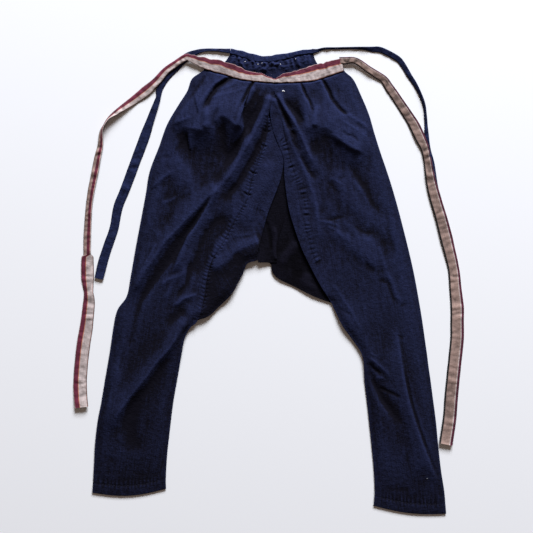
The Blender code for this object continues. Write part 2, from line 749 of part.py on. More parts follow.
def build_front_band(cream):
    """Striped band over the pleats, coming down to the surface beside the panel."""
    top = smooth_table([(row.top_x, row.top_y) for row in FRONT_BAND], STEPS_PER_SECTION) * MM
    low = smooth_table([(row.low_x, row.low_y) for row in FRONT_BAND], STEPS_PER_SECTION) * MM

    def rest(points):
        drop = ease(points[:, 0], BAND_TIP_X, BAND_END_X)
        return OVER_TIE + (BAND_REST - OVER_TIE) * drop

    plan = patch(low, top, BAND_COLUMNS)
    panel("waistband_front", plan, rest, CLOTH, cream)


def main():
    for old in list(bpy.data.objects):
        bpy.data.objects.remove(old, do_unlink=True)
    indigo = cotton("indigo_cotton", (0.019, 0.022, 0.062), 0.85)
    cream = cotton("striped_cotton", (0.53, 0.46, 0.42), 0.8)
    navy = cotton("navy_cotton", (0.028, 0.034, 0.085), 0.8)
    columns = build_fronts(indigo)
    build_gussets(columns, indigo)
    build_backs(indigo)
    build_front_band(cream)
    ribbon("waistband_back", BACK_BAND, NAVY_WIDTH, TIE_STEP, navy)
    ribbon("tie_front_left", TIE_FRONT_LEFT, STRIPED_WIDTH, TIE_STEP, cream)
    ribbon("tie_front_right", TIE_FRONT_RIGHT, STRIPED_WIDTH, TIE_STEP, cream)
    ribbon("tie_back_left", TIE_BACK_LEFT, NAVY_WIDTH, TIE_STEP, navy)
    ribbon("tie_back_right", TIE_BACK_RIGHT, NAVY_WIDTH, TIE_STEP, navy)


main()
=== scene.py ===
# %% [markdown]
# Monpe trousers, laid flat and seen from above. This file is a lesson in dressing a fixed model: the
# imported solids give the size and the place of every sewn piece, and each cell below makes the finer,
# finished cloth for one of them. Lengths in the tables are millimetres and become metres once.

# %% Load the fixed frame
import math
from collections import namedtuple

import bmesh
import bpy
import numpy as np
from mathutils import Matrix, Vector, bvhtree, noise


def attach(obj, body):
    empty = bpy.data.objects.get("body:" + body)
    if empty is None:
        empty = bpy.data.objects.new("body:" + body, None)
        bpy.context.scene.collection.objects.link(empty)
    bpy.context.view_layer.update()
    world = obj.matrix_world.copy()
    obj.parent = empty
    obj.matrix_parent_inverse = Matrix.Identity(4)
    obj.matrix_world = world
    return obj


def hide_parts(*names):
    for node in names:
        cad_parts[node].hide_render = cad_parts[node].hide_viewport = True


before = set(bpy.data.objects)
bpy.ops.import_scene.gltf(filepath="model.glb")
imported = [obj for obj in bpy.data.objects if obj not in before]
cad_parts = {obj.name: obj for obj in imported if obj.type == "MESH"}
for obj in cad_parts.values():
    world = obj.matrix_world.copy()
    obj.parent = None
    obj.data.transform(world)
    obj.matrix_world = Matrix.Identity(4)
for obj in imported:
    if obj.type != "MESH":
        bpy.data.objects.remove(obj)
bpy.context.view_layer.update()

MM = 0.001

# %% [markdown]
# The camera hangs straight above the garment and looks down, with the waist towards the top of the
# picture. A long lens keeps the perspective small, as in a catalogue picture taken from a ladder. The
# lens follows from two sizes: how much of the floor the picture shows, and how high the camera hangs.

# %% Camera
VIEW_WIDTH = 1.066
CAMERA_HEIGHT = 2.2
VIEW_CENTRE = (-0.0045, 0.027)


def put_in_scene(name, data):
    """An object that shows some data, linked to the scene."""
    thing = bpy.data.objects.new(name, data)
    bpy.context.scene.collection.objects.link(thing)
    return thing


camera_data = bpy.data.cameras.new("camera")
camera_data.sensor_width = 36.0
camera_data.lens = camera_data.sensor_width * CAMERA_HEIGHT / VIEW_WIDTH
camera = put_in_scene("camera", camera_data)
camera.location = (*VIEW_CENTRE, CAMERA_HEIGHT)
bpy.context.scene.camera = camera
bpy.context.scene.view_settings.view_transform = "Standard"
print("lens", round(camera_data.lens, 1), "mm")

# %% [markdown]
# The light comes from a large window beyond the waist, low over the floor, so every fold has a lit side
# and a dark side. A weak warm fill from all round keeps the dark sides readable. An area light gives
# soft shadow edges; a sun lamp would make them hard. The floor is a plain pale sheet.

# %% Window light, fill and floor
KEY_PLACE = (1.5, 7.3, 3.4)
KEY_SIZE = (4.4, 2.6)
KEY_POWER = 1480.0
KEY_COLOUR = (0.93, 0.96, 1.0)
FILL_COLOUR = (1.0, 0.76, 0.60)
FILL_STRENGTH = 0.13
FLOOR_COLOUR = (0.925, 0.94, 0.985)
FLOOR_SIZE = 6.0


def window_light(name, place, size, power, colour):
    """A soft rectangular light that faces the middle of the garment."""
    data = bpy.data.lights.new(name, "AREA")
    data.shape = "RECTANGLE"
    data.size, data.size_y = size
    data.energy = power
    data.color = colour
    lamp = put_in_scene(name, data)
    lamp.location = place
    across = math.hypot(place[0], place[1])
    lamp.rotation_euler = (math.atan2(across, place[2]), 0, math.atan2(place[0], -place[1]))


window_light("window", KEY_PLACE, KEY_SIZE, KEY_POWER, KEY_COLOUR)
room = bpy.data.worlds.new("room")
room.use_nodes = True
room_light = room.node_tree.nodes["Background"]
room_light.inputs["Color"].default_value = (*FILL_COLOUR, 1)
room_light.inputs["Strength"].default_value = FILL_STRENGTH
bpy.context.scene.world = room

floor_sheet = bmesh.new()
bmesh.ops.create_grid(floor_sheet, x_segments=1, y_segments=1, size=FLOOR_SIZE / 2)
floor_mesh = bpy.data.meshes.new("floor")
floor_sheet.to_mesh(floor_mesh)
floor_sheet.free()
floor = put_in_scene("floor", floor_mesh)
floor_paint = bpy.data.materials.new("pale_floor")
floor_paint.use_nodes = True
floor_shader = floor_paint.node_tree.nodes["Principled BSDF"]
floor_shader.inputs["Base Color"].default_value = (*FLOOR_COLOUR, 1)
floor_shader.inputs["Roughness"].default_value = 0.9
floor_shader.inputs["Specular IOR Level"].default_value = 0.1
floor_mesh.materials.append(floor_paint)
print("floor", FLOOR_SIZE, "m wide")

# %% [markdown]
# Cloth is drawn here with a handful of small tools. A table of a few places becomes a smooth line, a
# smooth line can be measured and spread into even steps, and any point of the garment can ask how far
# it lies from a line, on which side and how far along. Folds, seams and hems all use these answers.
# What is uneven about them comes from smooth noise. Its seed only picks another part of the noise, and
# each use has its own, so that no two edges wave alike.

# %% Lines and distances
SPLINE_STEPS = 6


def smooth_table(rows, steps):
    """Catmull-Rom curve through the rows of a table, with a number of steps between rows."""
    points = np.asarray(rows, dtype=float)
    before = np.vstack([2 * points[0] - points[1], points[:-1]])
    after = np.vstack([points[1:], 2 * points[-1] - points[-2]])
    slopes = (after - before) / 2
    share = np.arange(steps) / steps
    share = share[:, None]
    pieces = []
    for start, end, slope_in, slope_out in zip(points[:-1], points[1:], slopes[:-1], slopes[1:]):
        cubic = (2 * share**3 - 3 * share**2 + 1) * start + (share**3 - 2 * share**2 + share) * slope_in
        cubic = cubic + (3 * share**2 - 2 * share**3) * end + (share**3 - share**2) * slope_out
        pieces.append(cubic)
    return np.vstack(pieces + [points[-1:]])


def curve(rows):
    """A table of places as a smooth line in metres."""
    return smooth_table(rows, SPLINE_STEPS) * MM


def lengths_along(path):
    """Distance from the start of a path to each of its points."""
    steps = np.linalg.norm(np.diff(path[:, :2], axis=0), axis=1)
    return np.concatenate([[0.0], np.cumsum(steps)])


def resample(path, stations):
    """The path's points at given distances from its start."""
    along = lengths_along(path)
    return np.column_stack([np.interp(stations, along, column) for column in path.T])


def spread(path, count):
    """The same path with its points evenly spaced."""
    return resample(path, np.linspace(0, lengths_along(path)[-1], count))


def ease(value, start, end):
    """Smooth step from 0 at start to 1 at end."""
    share = np.clip((value - start) / (end - start), 0, 1)
    return share * share * (3 - 2 * share)


def nearest(points, path):
    """Distance, side (positive on the left) and run of each point along a path."""
    distance = np.full(len(points), np.inf)
    side = np.zeros(len(points))
    run = np.zeros(len(points))
    along = lengths_along(path)
    for index in range(len(path) - 1):
        start = path[index]
        span = path[index + 1] - start
        length = np.hypot(*span)
        offset = points - start
        share = np.clip(offset @ span / length**2, 0, 1)
        gap = np.linalg.norm(offset - share[:, None] * span, axis=1)
        closer = gap < distance
        turn = span[0] * offset[:, 1] - span[1] * offset[:, 0]
        distance[closer] = gap[closer]
        side[closer] = np.sign(turn)[closer]
        run[closer] = (along[index] + share * length)[closer]
    return distance, side, run


def noise_line(places, size, seed, row=0.0):
    """A soft random value for each place along a line, in waves about as long as size."""
    return np.array([noise.noise(Vector((place / size, seed, row))) for place in places])


def noise_field(points, wide, tall, seed):
    """A soft random value for each point of a plan, in patches about as wide and tall as given."""
    return np.array([noise.noise(Vector((x / wide, y / tall, seed))) for x, y in points])


def wobble(places, size, seed):
    """A noise line of values from about -1 to 1, for the edges of the narrow pieces."""
    return 2 * noise_line(places, size, seed, 0.3)


def around(points, path, reach):
    """Which points lie near enough to a path to be worth measuring."""
    low = path.min(axis=0) - reach
    high = path.max(axis=0) + reach
    return np.all((points > low) & (points < high), axis=1)


print("line tools ready")

# %% [markdown]
# The layout of the garment is a set of short tables. A leg is a row of sections from the waist to the
# hem, each with its place on the side edge and on the inner edge. Down to the crotch the inner edge is
# the seam with the gusset, and below it is the inside of the leg. The outline is that of the solids,
# so the finished cloth covers them. Some rows of the gusset seams and of the side slits lie a few
# millimetres beside the solids' rows, nearer to where the real seams run.

# %% Layout of the legs
Section = namedtuple("Section", "side_x side_y inner_x inner_y")
LEFT_SECTIONS = [
    Section(-124.5, 431, 12.4, 402),
    Section(-131.5, 418, 12.4, 393),
    Section(-153.5, 402, 11.6, 376),
    Section(-162.5, 378, 5.4, 352),
    Section(-181.5, 348, -0.5, 326),
    Section(-203.5, 310, -5.5, 280),
    Section(-218.5, 268, -22.5, 234),
    Section(-237.5, 218, -34.5, 198),
    Section(-245.5, 172, -44.5, 160),
    Section(-257.5, 108, -70, 115),
    Section(-266.5, 60, -90.5, 76),
    Section(-275.5, 8, -113.5, 39),
    Section(-283.5, -32, -123.5, 2),
    Section(-302.5, -60, -128.5, -36),
    Section(-310.5, -96, -141.5, -80),
    Section(-314.5, -124, -156.5, -95),
    Section(-319.5, -156, -167.5, -116),
    Section(-326.5, -196, -174.5, -152),
    Section(-334.5, -244, -183, -200),
    Section(-341.5, -280, -191, -246),
    Section(-347, -326, -198, -304),
    Section(-349.5, -374, -203, -350),
    Section(-351.5, -408, -205.5, -396),
    Section(-352.5, -425, -205, -417),
]
RIGHT_SECTIONS = [
    Section(148.5, 425, 12.6, 402),
    Section(152.5, 416, 12.6, 393),
    Section(169.5, 400, 12.5, 370),
    Section(186.5, 364, 22.5, 334),
    Section(200.5, 330, 28.5, 300),
    Section(211.5, 292, 35.5, 270),
    Section(223.5, 254, 42.5, 240),
    Section(234.5, 222, 52.5, 208),
    Section(245.5, 188, 57.5, 176),
    Section(256.5, 150, 63.5, 142),
    Section(266.5, 112, 72.5, 108),
    Section(278.5, 64, 82.5, 66),
    Section(289.5, 16, 95.5, 30),
    Section(298.5, -32, 109.5, -8),
    Section(306.5, -80, 125.5, -46),
    Section(312.5, -122, 133.5, -64),
    Section(316.5, -150, 148.5, -94),
    Section(319.5, -174, 170.5, -124),
    Section(323, -198, 187.5, -154),
    Section(327.5, -232, 191, -200),
    Section(334, -282, 197, -252),
    Section(339, -334, 203.5, -313),
    Section(344.5, -382, 209, -370),
    Section(351, -424, 211.5, -420),
    Section(354.5, -467, 209.5, -451),
]
GUSSET_START = 4
STRIP_START = 2
GUSSET_END = 14
BACK_GUSSET_START = 2

Bow = namedtuple("Bow", "waist hem")
LEFT_BOW = Bow(-6, -10)
RIGHT_BOW = Bow(-6, -7)

# Back panels where they part from the fronts, at the side slits
LEFT_SLIT = [
    Section(-77, 455, 5.24, 441),
    Section(-88, 437, 5.24, 420),
    Section(-116, 412, 5.0, 395),
    Section(-155, 381, 2.5, 362),
]
RIGHT_SLIT = [
    Section(89, 455, 5.26, 441),
    Section(98, 433, 5.26, 420),
    Section(124, 409, 5.9, 395),
    Section(174, 374, 10.5, 360),
]
print(len(LEFT_SECTIONS), "and", len(RIGHT_SECTIONS), "leg sections")

# %% [markdown]
# The gusset has tables of its own: the free fold of its left half, the free edge of the narrow strip
# on the right, and the crotch edge on both sides of the tuck. The tuck is a row of pairs, with its
# place on the left and on the right, from the top of the wedge to the crotch.

# %% Layout of the gusset
Point = namedtuple("Point", "x y")
GUSSET_FOLD = [
    Point(1.1, 324),
    Point(12.1, 284),
    Point(28.5, 244),
    Point(26.1, 212),
    Point(17.5, 184),
    Point(6.5, 156),
    Point(-3.5, 128),
    Point(-10.5, 102),
    Point(-17.5, 74),
    Point(-22.5, 54),
    Point(-24.5, 39),
]
STRIP_FOLD = [
    Point(9.1, 371),
    Point(3.1, 338),
    Point(7.1, 304),
    Point(19.1, 271),
    Point(29.9, 242),
    Point(31.1, 208),
    Point(35.1, 172),
    Point(41.5, 136),
    Point(50.5, 106),
    Point(64.5, 66),
    Point(80.5, 32),
    Point(101.5, -8),
    Point(123.5, -43),
]
CROTCH_LEFT = [
    Point(-141.5, -80),
    Point(-119.5, -72),
    Point(-98, -52),
    Point(-75.5, -30),
    Point(-61.5, -6),
    Point(-50, 16),
    Point(-42.7, 33),
    Point(-24.5, 39),
]
CROTCH_RIGHT = [
    Point(3.3, 33),
    Point(6.1, 18),
    Point(18.5, 2.8),
    Point(52.5, -14),
    Point(91.3, -33.4),
    Point(125.5, -46),
]
Pair = namedtuple("Pair", "left_x left_y right_x right_y")
TUCK = [
    Pair(27.5, 228, 31.5, 216),
    Pair(12.5, 184, 34.5, 180),
    Pair(-3.5, 144, 35.5, 150),
    Pair(-16.5, 108, 30.5, 120),
    Pair(-22.5, 80, 21.5, 90),
    Pair(-18.5, 58, 17.5, 64),
    Pair(-21.5, 35, 16.5, 35),
]
print("gusset edges", len(GUSSET_FOLD), "and", len(STRIP_FOLD), "places")

# %% [markdown]
# A fold is a path that someone could draw on the cloth with a finger, and a few words: how high the
# crest stands, how far its slope reaches on the left and on the right of the path, and how long it
# takes to rise and to die away. A short reach on one side makes the sharp edge of a pleat, a long one
# makes a soft swell, and a negative height makes a trough. Flare is how much wider the fold is at its
# end. Cloth could be simulated instead, but a simulation wouldn't lay its folds where these lie.
# These tables hold the large folds. The brows are steep on one side only, the swells are round on both.

# %% Large folds
Fold = namedtuple("Fold", "name height left right flare fade_in fade_out path")
BROWS = [
    Fold("hip swell left", 17, 92, 62, 1, 60, 24,
         [(-190, 288), (-166, 304), (-142, 300), (-124, 302), (-110, 316), (-94, 326), (-78, 320),
          (-61, 304), (-38, 308)]),
    Fold("hip swell right", 10.5, 84, 56, 1, 24, 44,
         [(56, 302), (84, 304), (112, 304), (130, 294), (144, 280), (160, 268), (182, 257), (210, 250)]),
    Fold("gusset brow", 4.5, 24, 30, 1, 18, 9, [(-116, 18), (-88, 36), (-66, 58), (-46, 67), (-16, 80)]),
]
SWELLS = [
    Fold("thigh swell left", 3, 34, 40, 1, 50, 50, [(-216, 250), (-176, 214), (-150, 160), (-196, 110)]),
    Fold("thigh swell right", 3, 40, 40, 1, 60, 60, [(120, 236), (160, 170), (190, 90), (214, 20)]),
    Fold("gusset swell", 3, 22, 26, 1, 30, 40, [(8, 250), (-8, 200), (-34, 146), (-52, 100)]),
    Fold("thigh hollow left", -4.8, 34, 32, 1, 40, 50,
         [(-64, 132), (-92, 112), (-114, 88), (-128, 58), (-140, 28), (-160, -8)]),
    Fold("light beside the seam", 1.6, 16, 18, 1, 20, 20, [(-78, 92), (-98, 62), (-110, 30)]),
    Fold("thigh hollow right", -2.2, 24, 22, 1, 40, 50,
         [(136, 160), (166, 128), (194, 100), (228, 72), (252, 40)]),
    Fold("thigh light right", 2.0, 24, 22, 1, 34, 34, [(112, 106), (152, 80), (192, 50), (230, 14)]),
    Fold("shin swell left", 3, 34, 34, 1, 40, 40, [(-300, -150), (-322, -220), (-330, -320)]),
    Fold("calf hollow left", -2.8, 26, 26, 1, 60, 40,
         [(-258, -190), (-272, -250), (-274, -310), (-264, -352)]),
    Fold("shin swell right", 3, 30, 34, 1, 50, 40, [(236, -120), (262, -210), (300, -330), (310, -400)]),
]
FOLDS = [
    Fold("pleat by the slit", -2.5, 7, 9, 1.4, 5, 24,
         [(-127, 409), (-138, 390), (-152, 371), (-168, 352)]),
    Fold("pleat 1", -5.5, 14, 4, 1.6, 3, 22,
         [(-70, 409), (-88, 397), (-105, 384), (-114, 370), (-124, 354), (-134, 337)]),
    Fold("beside pleat 1", 2.6, 5, 24, 1.4, 4, 26,
         [(-82, 406), (-99, 396), (-114, 384), (-124, 370), (-135, 352), (-146, 330)]),
    Fold("pleat 2", -4.5, 3, 5, 1.6, 3, 22, [(-27, 400), (-37, 385), (-45, 369), (-52, 354), (-59, 338)]),
    Fold("finger 1", 3.4, 10, 12, 1, 26, 9, [(-117, 350), (-124, 328), (-127, 298)]),
    Fold("slit beside it", -2.6, 10, 6, 1.2, 14, 14, [(-101, 346), (-107, 328), (-115, 300)]),
    Fold("finger 2", 5, 12, 9, 1, 14, 9, [(-29, 390), (-40, 362), (-51, 335), (-62, 300)]),
    Fold("valley left", -5.5, 10, 13, 2.4, 56, 50,
         [(-9, 366), (-21, 348), (-33, 324), (-46, 299), (-62, 270), (-80, 240), (-98, 214)]),
    Fold("long ridge left", 9.5, 25, 14, 1.3, 16, 46,
         [(2, 374), (-5, 346), (-18, 316), (-31, 290), (-45, 265), (-61, 238), (-79, 207), (-106, 176)]),
    Fold("hollow beside it", -3.4, 15, 15, 1.2, 36, 50,
         [(6, 326), (-9, 292), (-24, 258), (-41, 228), (-59, 198), (-80, 170), (-96, 146)]),
    Fold("outer branch", 6.6, 18, 34, 1.2, 30, 40,
         [(-88, 196), (-114, 173), (-139, 145), (-163, 121), (-190, 93), (-208, 74), (-226, 46),
          (-243, 24), (-262, -8), (-284, -40)]),
    Fold("inner branch", 5, 28, 7, 1, 24, 24,
         [(-96, 190), (-109, 169), (-122, 145), (-134, 125), (-147, 104), (-158, 89), (-168, 66),
          (-177, 45), (-184, 28), (-192, 12)]),
    Fold("valley between them", -4.0, 8, 24, 1.3, 34, 70,
         [(-112, 172), (-127, 148), (-140, 128), (-153, 106), (-165, 91), (-178, 68), (-192, 46),
          (-210, 22), (-232, -8), (-256, -46), (-270, -84)]),
    Fold("side crease left", 2, 9, 6, 1, 8, 24, [(-242, 180), (-224, 192), (-208, 206), (-186, 221)]),
    Fold("thigh hollow", -1.2, 10, 9, 1, 16, 24, [(-80, 114), (-100, 111), (-116, 100), (-130, 78)]),
    Fold("knee fold", 2.2, 11, 13, 1, 14, 16,
         [(-218, -16), (-202, 0), (-186, 5), (-174, 10), (-164, 26)]),
    Fold("knee drop", 1.4, 10, 11, 1, 14, 16, [(-182, 4), (-193, -8), (-200, -26), (-212, -43)]),
    Fold("knee valley", -2.4, 13, 12, 1, 18, 20,
         [(-154, 42), (-160, 12), (-164, -8), (-177, -24), (-188, -38)]),
    Fold("knee crease left", 2.6, 12, 9, 1, 14, 20,
         [(-194, -52), (-182, -47), (-170, -38), (-157, -33), (-138, -26)]),
    Fold("knee hollow left", -2.4, 20, 20, 1, 20, 28, [(-160, -54), (-184, -72), (-204, -98)]),
    Fold("shin ridge left", 8, 13, 36, 1.7, 20, 54,
         [(-153, -80), (-169, -97), (-186, -120), (-204, -144), (-221, -162), (-236, -182), (-251, -202),
          (-274, -230), (-299, -266), (-318, -304)]),
    Fold("side trough left", -1.0, 10, 10, 1.2, 18, 24,
         [(-254, -46), (-264, -72), (-272, -104), (-281, -140)]),
    Fold("calf dent left", -0.7, 18, 20, 1, 24, 18,
         [(-238, -266), (-247, -302), (-257, -330), (-268, -350)]),
    Fold("calf dent left, other arm", -0.6, 16, 18, 1, 16, 16,
         [(-296, -290), (-306, -316), (-290, -330), (-270, -350)]),
    Fold("pleat 3", -2.8, 4, 3.5, 1.4, 3, 20, [(64, 394), (74, 370), (82, 355), (87, 340), (90, 322)]),
    Fold("beside pleat 3", 2, 5, 16, 1.3, 4, 20, [(57, 394), (67, 371), (75, 354), (80, 336)]),
    Fold("pleat 4", -3.4, 5, 4, 1.5, 3, 14,
         [(104, 404), (114, 388), (121, 375), (127, 361), (136, 348), (146, 337), (161, 327)]),
    Fold("beside pleat 4", 2.4, 6, 22, 1.3, 4, 20,
         [(96, 404), (106, 389), (113, 375), (119, 360), (128, 344)]),
    Fold("finger 3", 3.6, 13, 11, 1, 26, 6, [(96, 352), (92, 330), (90, 303)]),
    Fold("long ridge right", 5.8, 13, 15, 1.5, 12, 50,
         [(14, 374), (24, 354), (36, 335), (48, 318), (58, 300), (68, 277), (77, 256), (86, 238),
          (98, 214)]),
    Fold("valley right of it", -3.8, 19, 10, 1.5, 24, 40,
         [(27, 367), (37, 352), (51, 336), (65, 320), (82, 302)]),
    Fold("centre pit", -4.6, 8, 8, 1, 6, 10, [(11, 370), (21, 353), (29, 335), (37, 318), (44, 299)]),
    Fold("second pit", -2.4, 8, 8, 1, 8, 10, [(44, 300), (54, 283)]),
    Fold("gusset ridge", 1.7, 17, 9, 1.3, 14, 130,
         [(26, 324), (34, 301), (43, 278), (51, 260), (62, 238), (74, 214), (82, 190),
          (92, 160), (97, 130), (102, 90), (112, 40)]),
    Fold("valley by the strip", -2, 10, 8, 1, 14, 24, [(60, 252), (71, 234), (84, 213), (99, 196)]),
    Fold("hip crease right", -1.6, 4, 4, 1, 5, 8, [(146, 297), (156, 288), (167, 286), (182, 272)]),
    Fold("lobe edge", 2.6, 22, 9, 1, 12, 20,
         [(122, 294), (137, 280), (150, 272), (164, 263), (192, 252)]),
    Fold("long trough right", -1.7, 24, 18, 1, 40, 50,
         [(148, 242), (166, 222), (177, 204), (189, 190), (200, 172), (208, 152), (222, 138),
          (252, 108)]),
    Fold("short trough right", -1.2, 10, 9, 1, 16, 20, [(112, 206), (122, 192), (132, 179), (146, 166)]),
    Fold("crest above it", 1.1, 8, 8, 1, 12, 14, [(121, 207), (134, 197), (150, 185)]),
    Fold("thigh crease right", -1.4, 11, 4, 1, 9, 16, [(116, 119), (134, 122), (154, 128)]),
    Fold("thigh pool right", -1.5, 16, 13, 1, 20, 22,
         [(158, 122), (170, 110), (185, 97), (201, 93), (216, 108)]),
    Fold("thigh diagonal right", 1.1, 13, 10, 1, 8, 10, [(132, 98), (148, 86), (166, 73)]),
    Fold("lower trough right", -1.4, 10, 9, 1, 14, 14, [(188, 40), (200, 26), (214, 14)]),
    Fold("bend trough right", -1.1, 8, 8, 1, 14, 18,
         [(214, 3), (230, -2), (240, -10), (245, -28), (252, -42), (260, -50)]),
    Fold("bend right", 1.1, 12, 7, 1, 14, 16, [(228, 20), (240, 4), (249, -12), (254, -32), (270, -47)]),
    Fold("side ridge right", 2.4, 7, 22, 1.1, 40, 30,
         [(252, -90), (258, -130), (266, -180), (276, -234), (288, -276), (302, -318), (322, -370),
          (338, -408)]),
    Fold("side trough right", -2, 6, 5, 1, 30, 20,
         [(269, -176), (276, -206), (282, -234), (293, -274), (308, -318), (327, -368), (342, -402)]),
    Fold("shin valley right", -3.9, 18, 12, 1.5, 24, 70,
         [(191, -154), (197, -178), (205, -196), (213, -212), (226, -236), (238, -254), (257, -277),
          (284, -298)]),
    Fold("shin ridge right", 1.2, 12, 20, 1.2, 20, 34,
         [(180, -168), (190, -196), (202, -216), (216, -240), (232, -262), (252, -286)]),
    Fold("knee crest right", 2, 10, 9, 1, 14, 26, [(196, -152), (210, -163), (224, -174), (248, -198)]),
    Fold("knee trough right", -2, 6, 6, 1, 9, 11, [(198, -164), (210, -177), (226, -189)]),
    Fold("shin crease right", -1.6, 6, 4, 1, 8, 12, [(218, -214), (238, -223), (252, -229), (266, -237)]),
]
TUCK_FOLDS = [
    Fold("tuck fold", 2.4, 7, 13, 1, 16, 6, [(10, 112), (14, 88), (12, 62), (15, 38)]),
    Fold("tuck dent", -1.6, 7, 5, 1, 10, 10, [(-6, 120), (2, 90), (4, 56)]),
]
BACK_GUSSET_FOLDS = [
    Fold("back gusset fold", 2.4, 12, 16, 1, 14, 16, [(58, 80), (46, 62), (32, 46), (24, 26)]),
    Fold("back gusset dent", -1.8, 12, 14, 1, 14, 16, [(66, 50), (56, 24), (64, 0)]),
    Fold("back gusset swell", 2.0, 16, 16, 1, 14, 14, [(86, 14), (72, -4), (96, -24)]),
]
CREST_ROUND = 1.1 * MM


def fold_height(points, fold, round_sides):
    """Height of one fold over each point. Its sides are steep as a tent's, or round on one or both."""
    path = curve(fold.path)
    height = np.zeros(len(points))
    close = around(points, path, max(fold.left, fold.right) * max(1, fold.flare) * MM)
    if not close.any():
        return height
    distance, side, run = nearest(points[close], path)
    total = lengths_along(path)[-1]
    reach = np.where(side > 0, fold.left, fold.right) * MM * (1 + (fold.flare - 1) * run / total)
    softly = 0.5 + 0.5 * np.cos(np.pi * np.minimum(distance / reach, 1))
    steeply = np.clip(1 - (np.hypot(distance, CREST_ROUND) - CREST_ROUND) / reach, 0, 1) ** 2
    round_here = (round_sides == 2) | ((round_sides == 1) & (side > 0))
    across = np.where(round_here, softly, steeply)
    ends = ease(run, 0, fold.fade_in * MM) * ease(total - run, 0, fold.fade_out * MM)
    height[close] = fold.height * MM * across * ends
    return height


def all_folds(points, folds, round_sides=0):
    """Height of a whole table of folds."""
    return sum((fold_height(points, fold, round_sides) for fold in folds), np.zeros(len(points)))


print(len(BROWS) + len(SWELLS) + len(FOLDS), "large folds")

# %% [markdown]
# The smaller creases are only in the finished cloth, and no solid has them. Under all the folds lies
# the crumple of washed cotton: noise in three sizes, given in millimetres with its height. It is drawn
# out along the leg, and lower on the shin, where the cloth was smoothed down when it was laid out.

# %% Small creases
CREASES = [
    Fold("pleat sling, upper", -0.8, 4, 4, 1, 10, 10, [(-112, 372), (-86, 379), (-60, 389)]),
    Fold("pleat sling, lower", 0.8, 5, 5, 1, 8, 10, [(-117, 361), (-95, 368), (-70, 374), (-46, 386)]),
    Fold("hip line left", 1.3, 7, 6, 1, 10, 14, [(-198, 308), (-172, 318), (-150, 326)]),
    Fold("hip streak 1", -1.0, 9, 10, 1, 12, 18,
         [(-145, 332), (-152, 312), (-160, 288), (-172, 273), (-190, 254)]),
    Fold("hip streak 2", -0.7, 8, 9, 1, 12, 16, [(-142, 296), (-146, 270), (-154, 236)]),
    Fold("hip streak 3", -1, 7, 7, 1, 8, 10, [(-216, 243), (-204, 246), (-190, 240)]),
    Fold("thigh hair line", 1.3, 4, 5, 1, 10, 12, [(-218, 153), (-196, 159), (-178, 170)]),
    Fold("beside outer branch", -1, 5, 5, 1, 14, 14, [(-232, 66), (-246, 40), (-258, 20), (-270, 2)]),
    Fold("beside it again", 1.2, 5, 5, 1, 10, 12, [(-222, 76), (-236, 50), (-250, 26)]),
    Fold("side streak 1", -0.7, 6, 6, 1, 10, 12, [(-288, -138), (-293, -160), (-297, -186)]),
    Fold("side streak 2", -0.6, 5, 5, 1, 8, 10, [(-305, -146), (-309, -176)]),
    Fold("side streak 3", -0.8, 5, 5, 1, 12, 16, [(-314, -206), (-322, -238), (-331, -274)]),
    Fold("calf line", -0.5, 11, 11, 1, 16, 20, [(-338, -346), (-320, -358), (-296, -373)]),
    Fold("hip ray 1", 1.3, 7, 6, 1, 12, 18, [(150, 334), (182, 314), (212, 290)]),
    Fold("hip ray 2", -1.1, 7, 7, 1, 10, 16, [(172, 314), (192, 298), (208, 274)]),
    Fold("hip ray 3", 1.1, 5, 5, 1, 10, 12, [(146, 318), (166, 305), (186, 292)]),
    Fold("spot right 1", -1, 8, 8, 1, 8, 8, [(136, 200), (156, 208)]),
    Fold("ray under crease 1", 1, 5, 5, 1, 6, 10, [(100, 117), (122, 114), (144, 106)]),
    Fold("ray under crease 2", 0.8, 4, 4, 1, 6, 8, [(116, 107), (138, 99)]),
    Fold("thigh line 1", 0.9, 8, 8, 1, 14, 18, [(166, 206), (188, 172), (206, 138)]),
    Fold("thigh line 2", -0.9, 8, 8, 1, 12, 14, [(230, 108), (244, 78), (252, 46)]),
    Fold("thigh line 3", 1, 9, 9, 1, 14, 18, [(218, 70), (230, 34), (238, 8)]),
    Fold("inner seam line", 0.9, 8, 8, 1, 14, 24,
         [(130, -8), (148, -38), (163, -60), (175, -84), (192, -110)]),
    Fold("inner seam dip", -0.9, 7, 6, 1, 10, 14, [(138, -56), (152, -63), (170, -76)]),
    Fold("side dash", -0.6, 6, 6, 1, 8, 8, [(258, -52), (280, -48)]),
    Fold("side dash 2", -0.9, 4, 4, 1, 5, 5, [(254, -108), (270, -117)]),
    Fold("knee ray 1", 1, 4, 4, 1, 5, 8, [(200, -145), (217, -153)]),
    Fold("knee ray 2", 1.1, 4, 5, 1, 5, 8, [(212, -195), (232, -195)]),
    Fold("shin line", 1, 6, 6, 1, 10, 12, [(219, -258), (222, -282), (228, -304)]),
    Fold("cuff wave right", -0.4, 11, 11, 1, 20, 20, [(232, -414), (262, -418), (292, -415)]),
    Fold("cuff wave left", -0.4, 10, 10, 1, 14, 14, [(-304, -396), (-272, -405)]),
    Fold("shin wave right", 0.5, 13, 13, 1, 24, 24, [(262, -312), (268, -344), (264, -374)]),
    Fold("gusset band", 0.8, 9, 11, 1, 10, 14, [(-74, 88), (-48, 90), (-22, 99)]),
    Fold("gusset line", -0.7, 4, 4, 1, 8, 8, [(-54, 84), (-32, 88)]),
]
CRUMPLE = [(44, 0.6), (19, 0.55), (9, 0.6)]
CRUMPLE_STRETCH = 0.62
CRUMPLE_EDGE_RUN = 10 * MM
LEG_CRUMPLE = 0.35
LEG_START = 100.0 * MM
LEG_FULL = -60.0 * MM


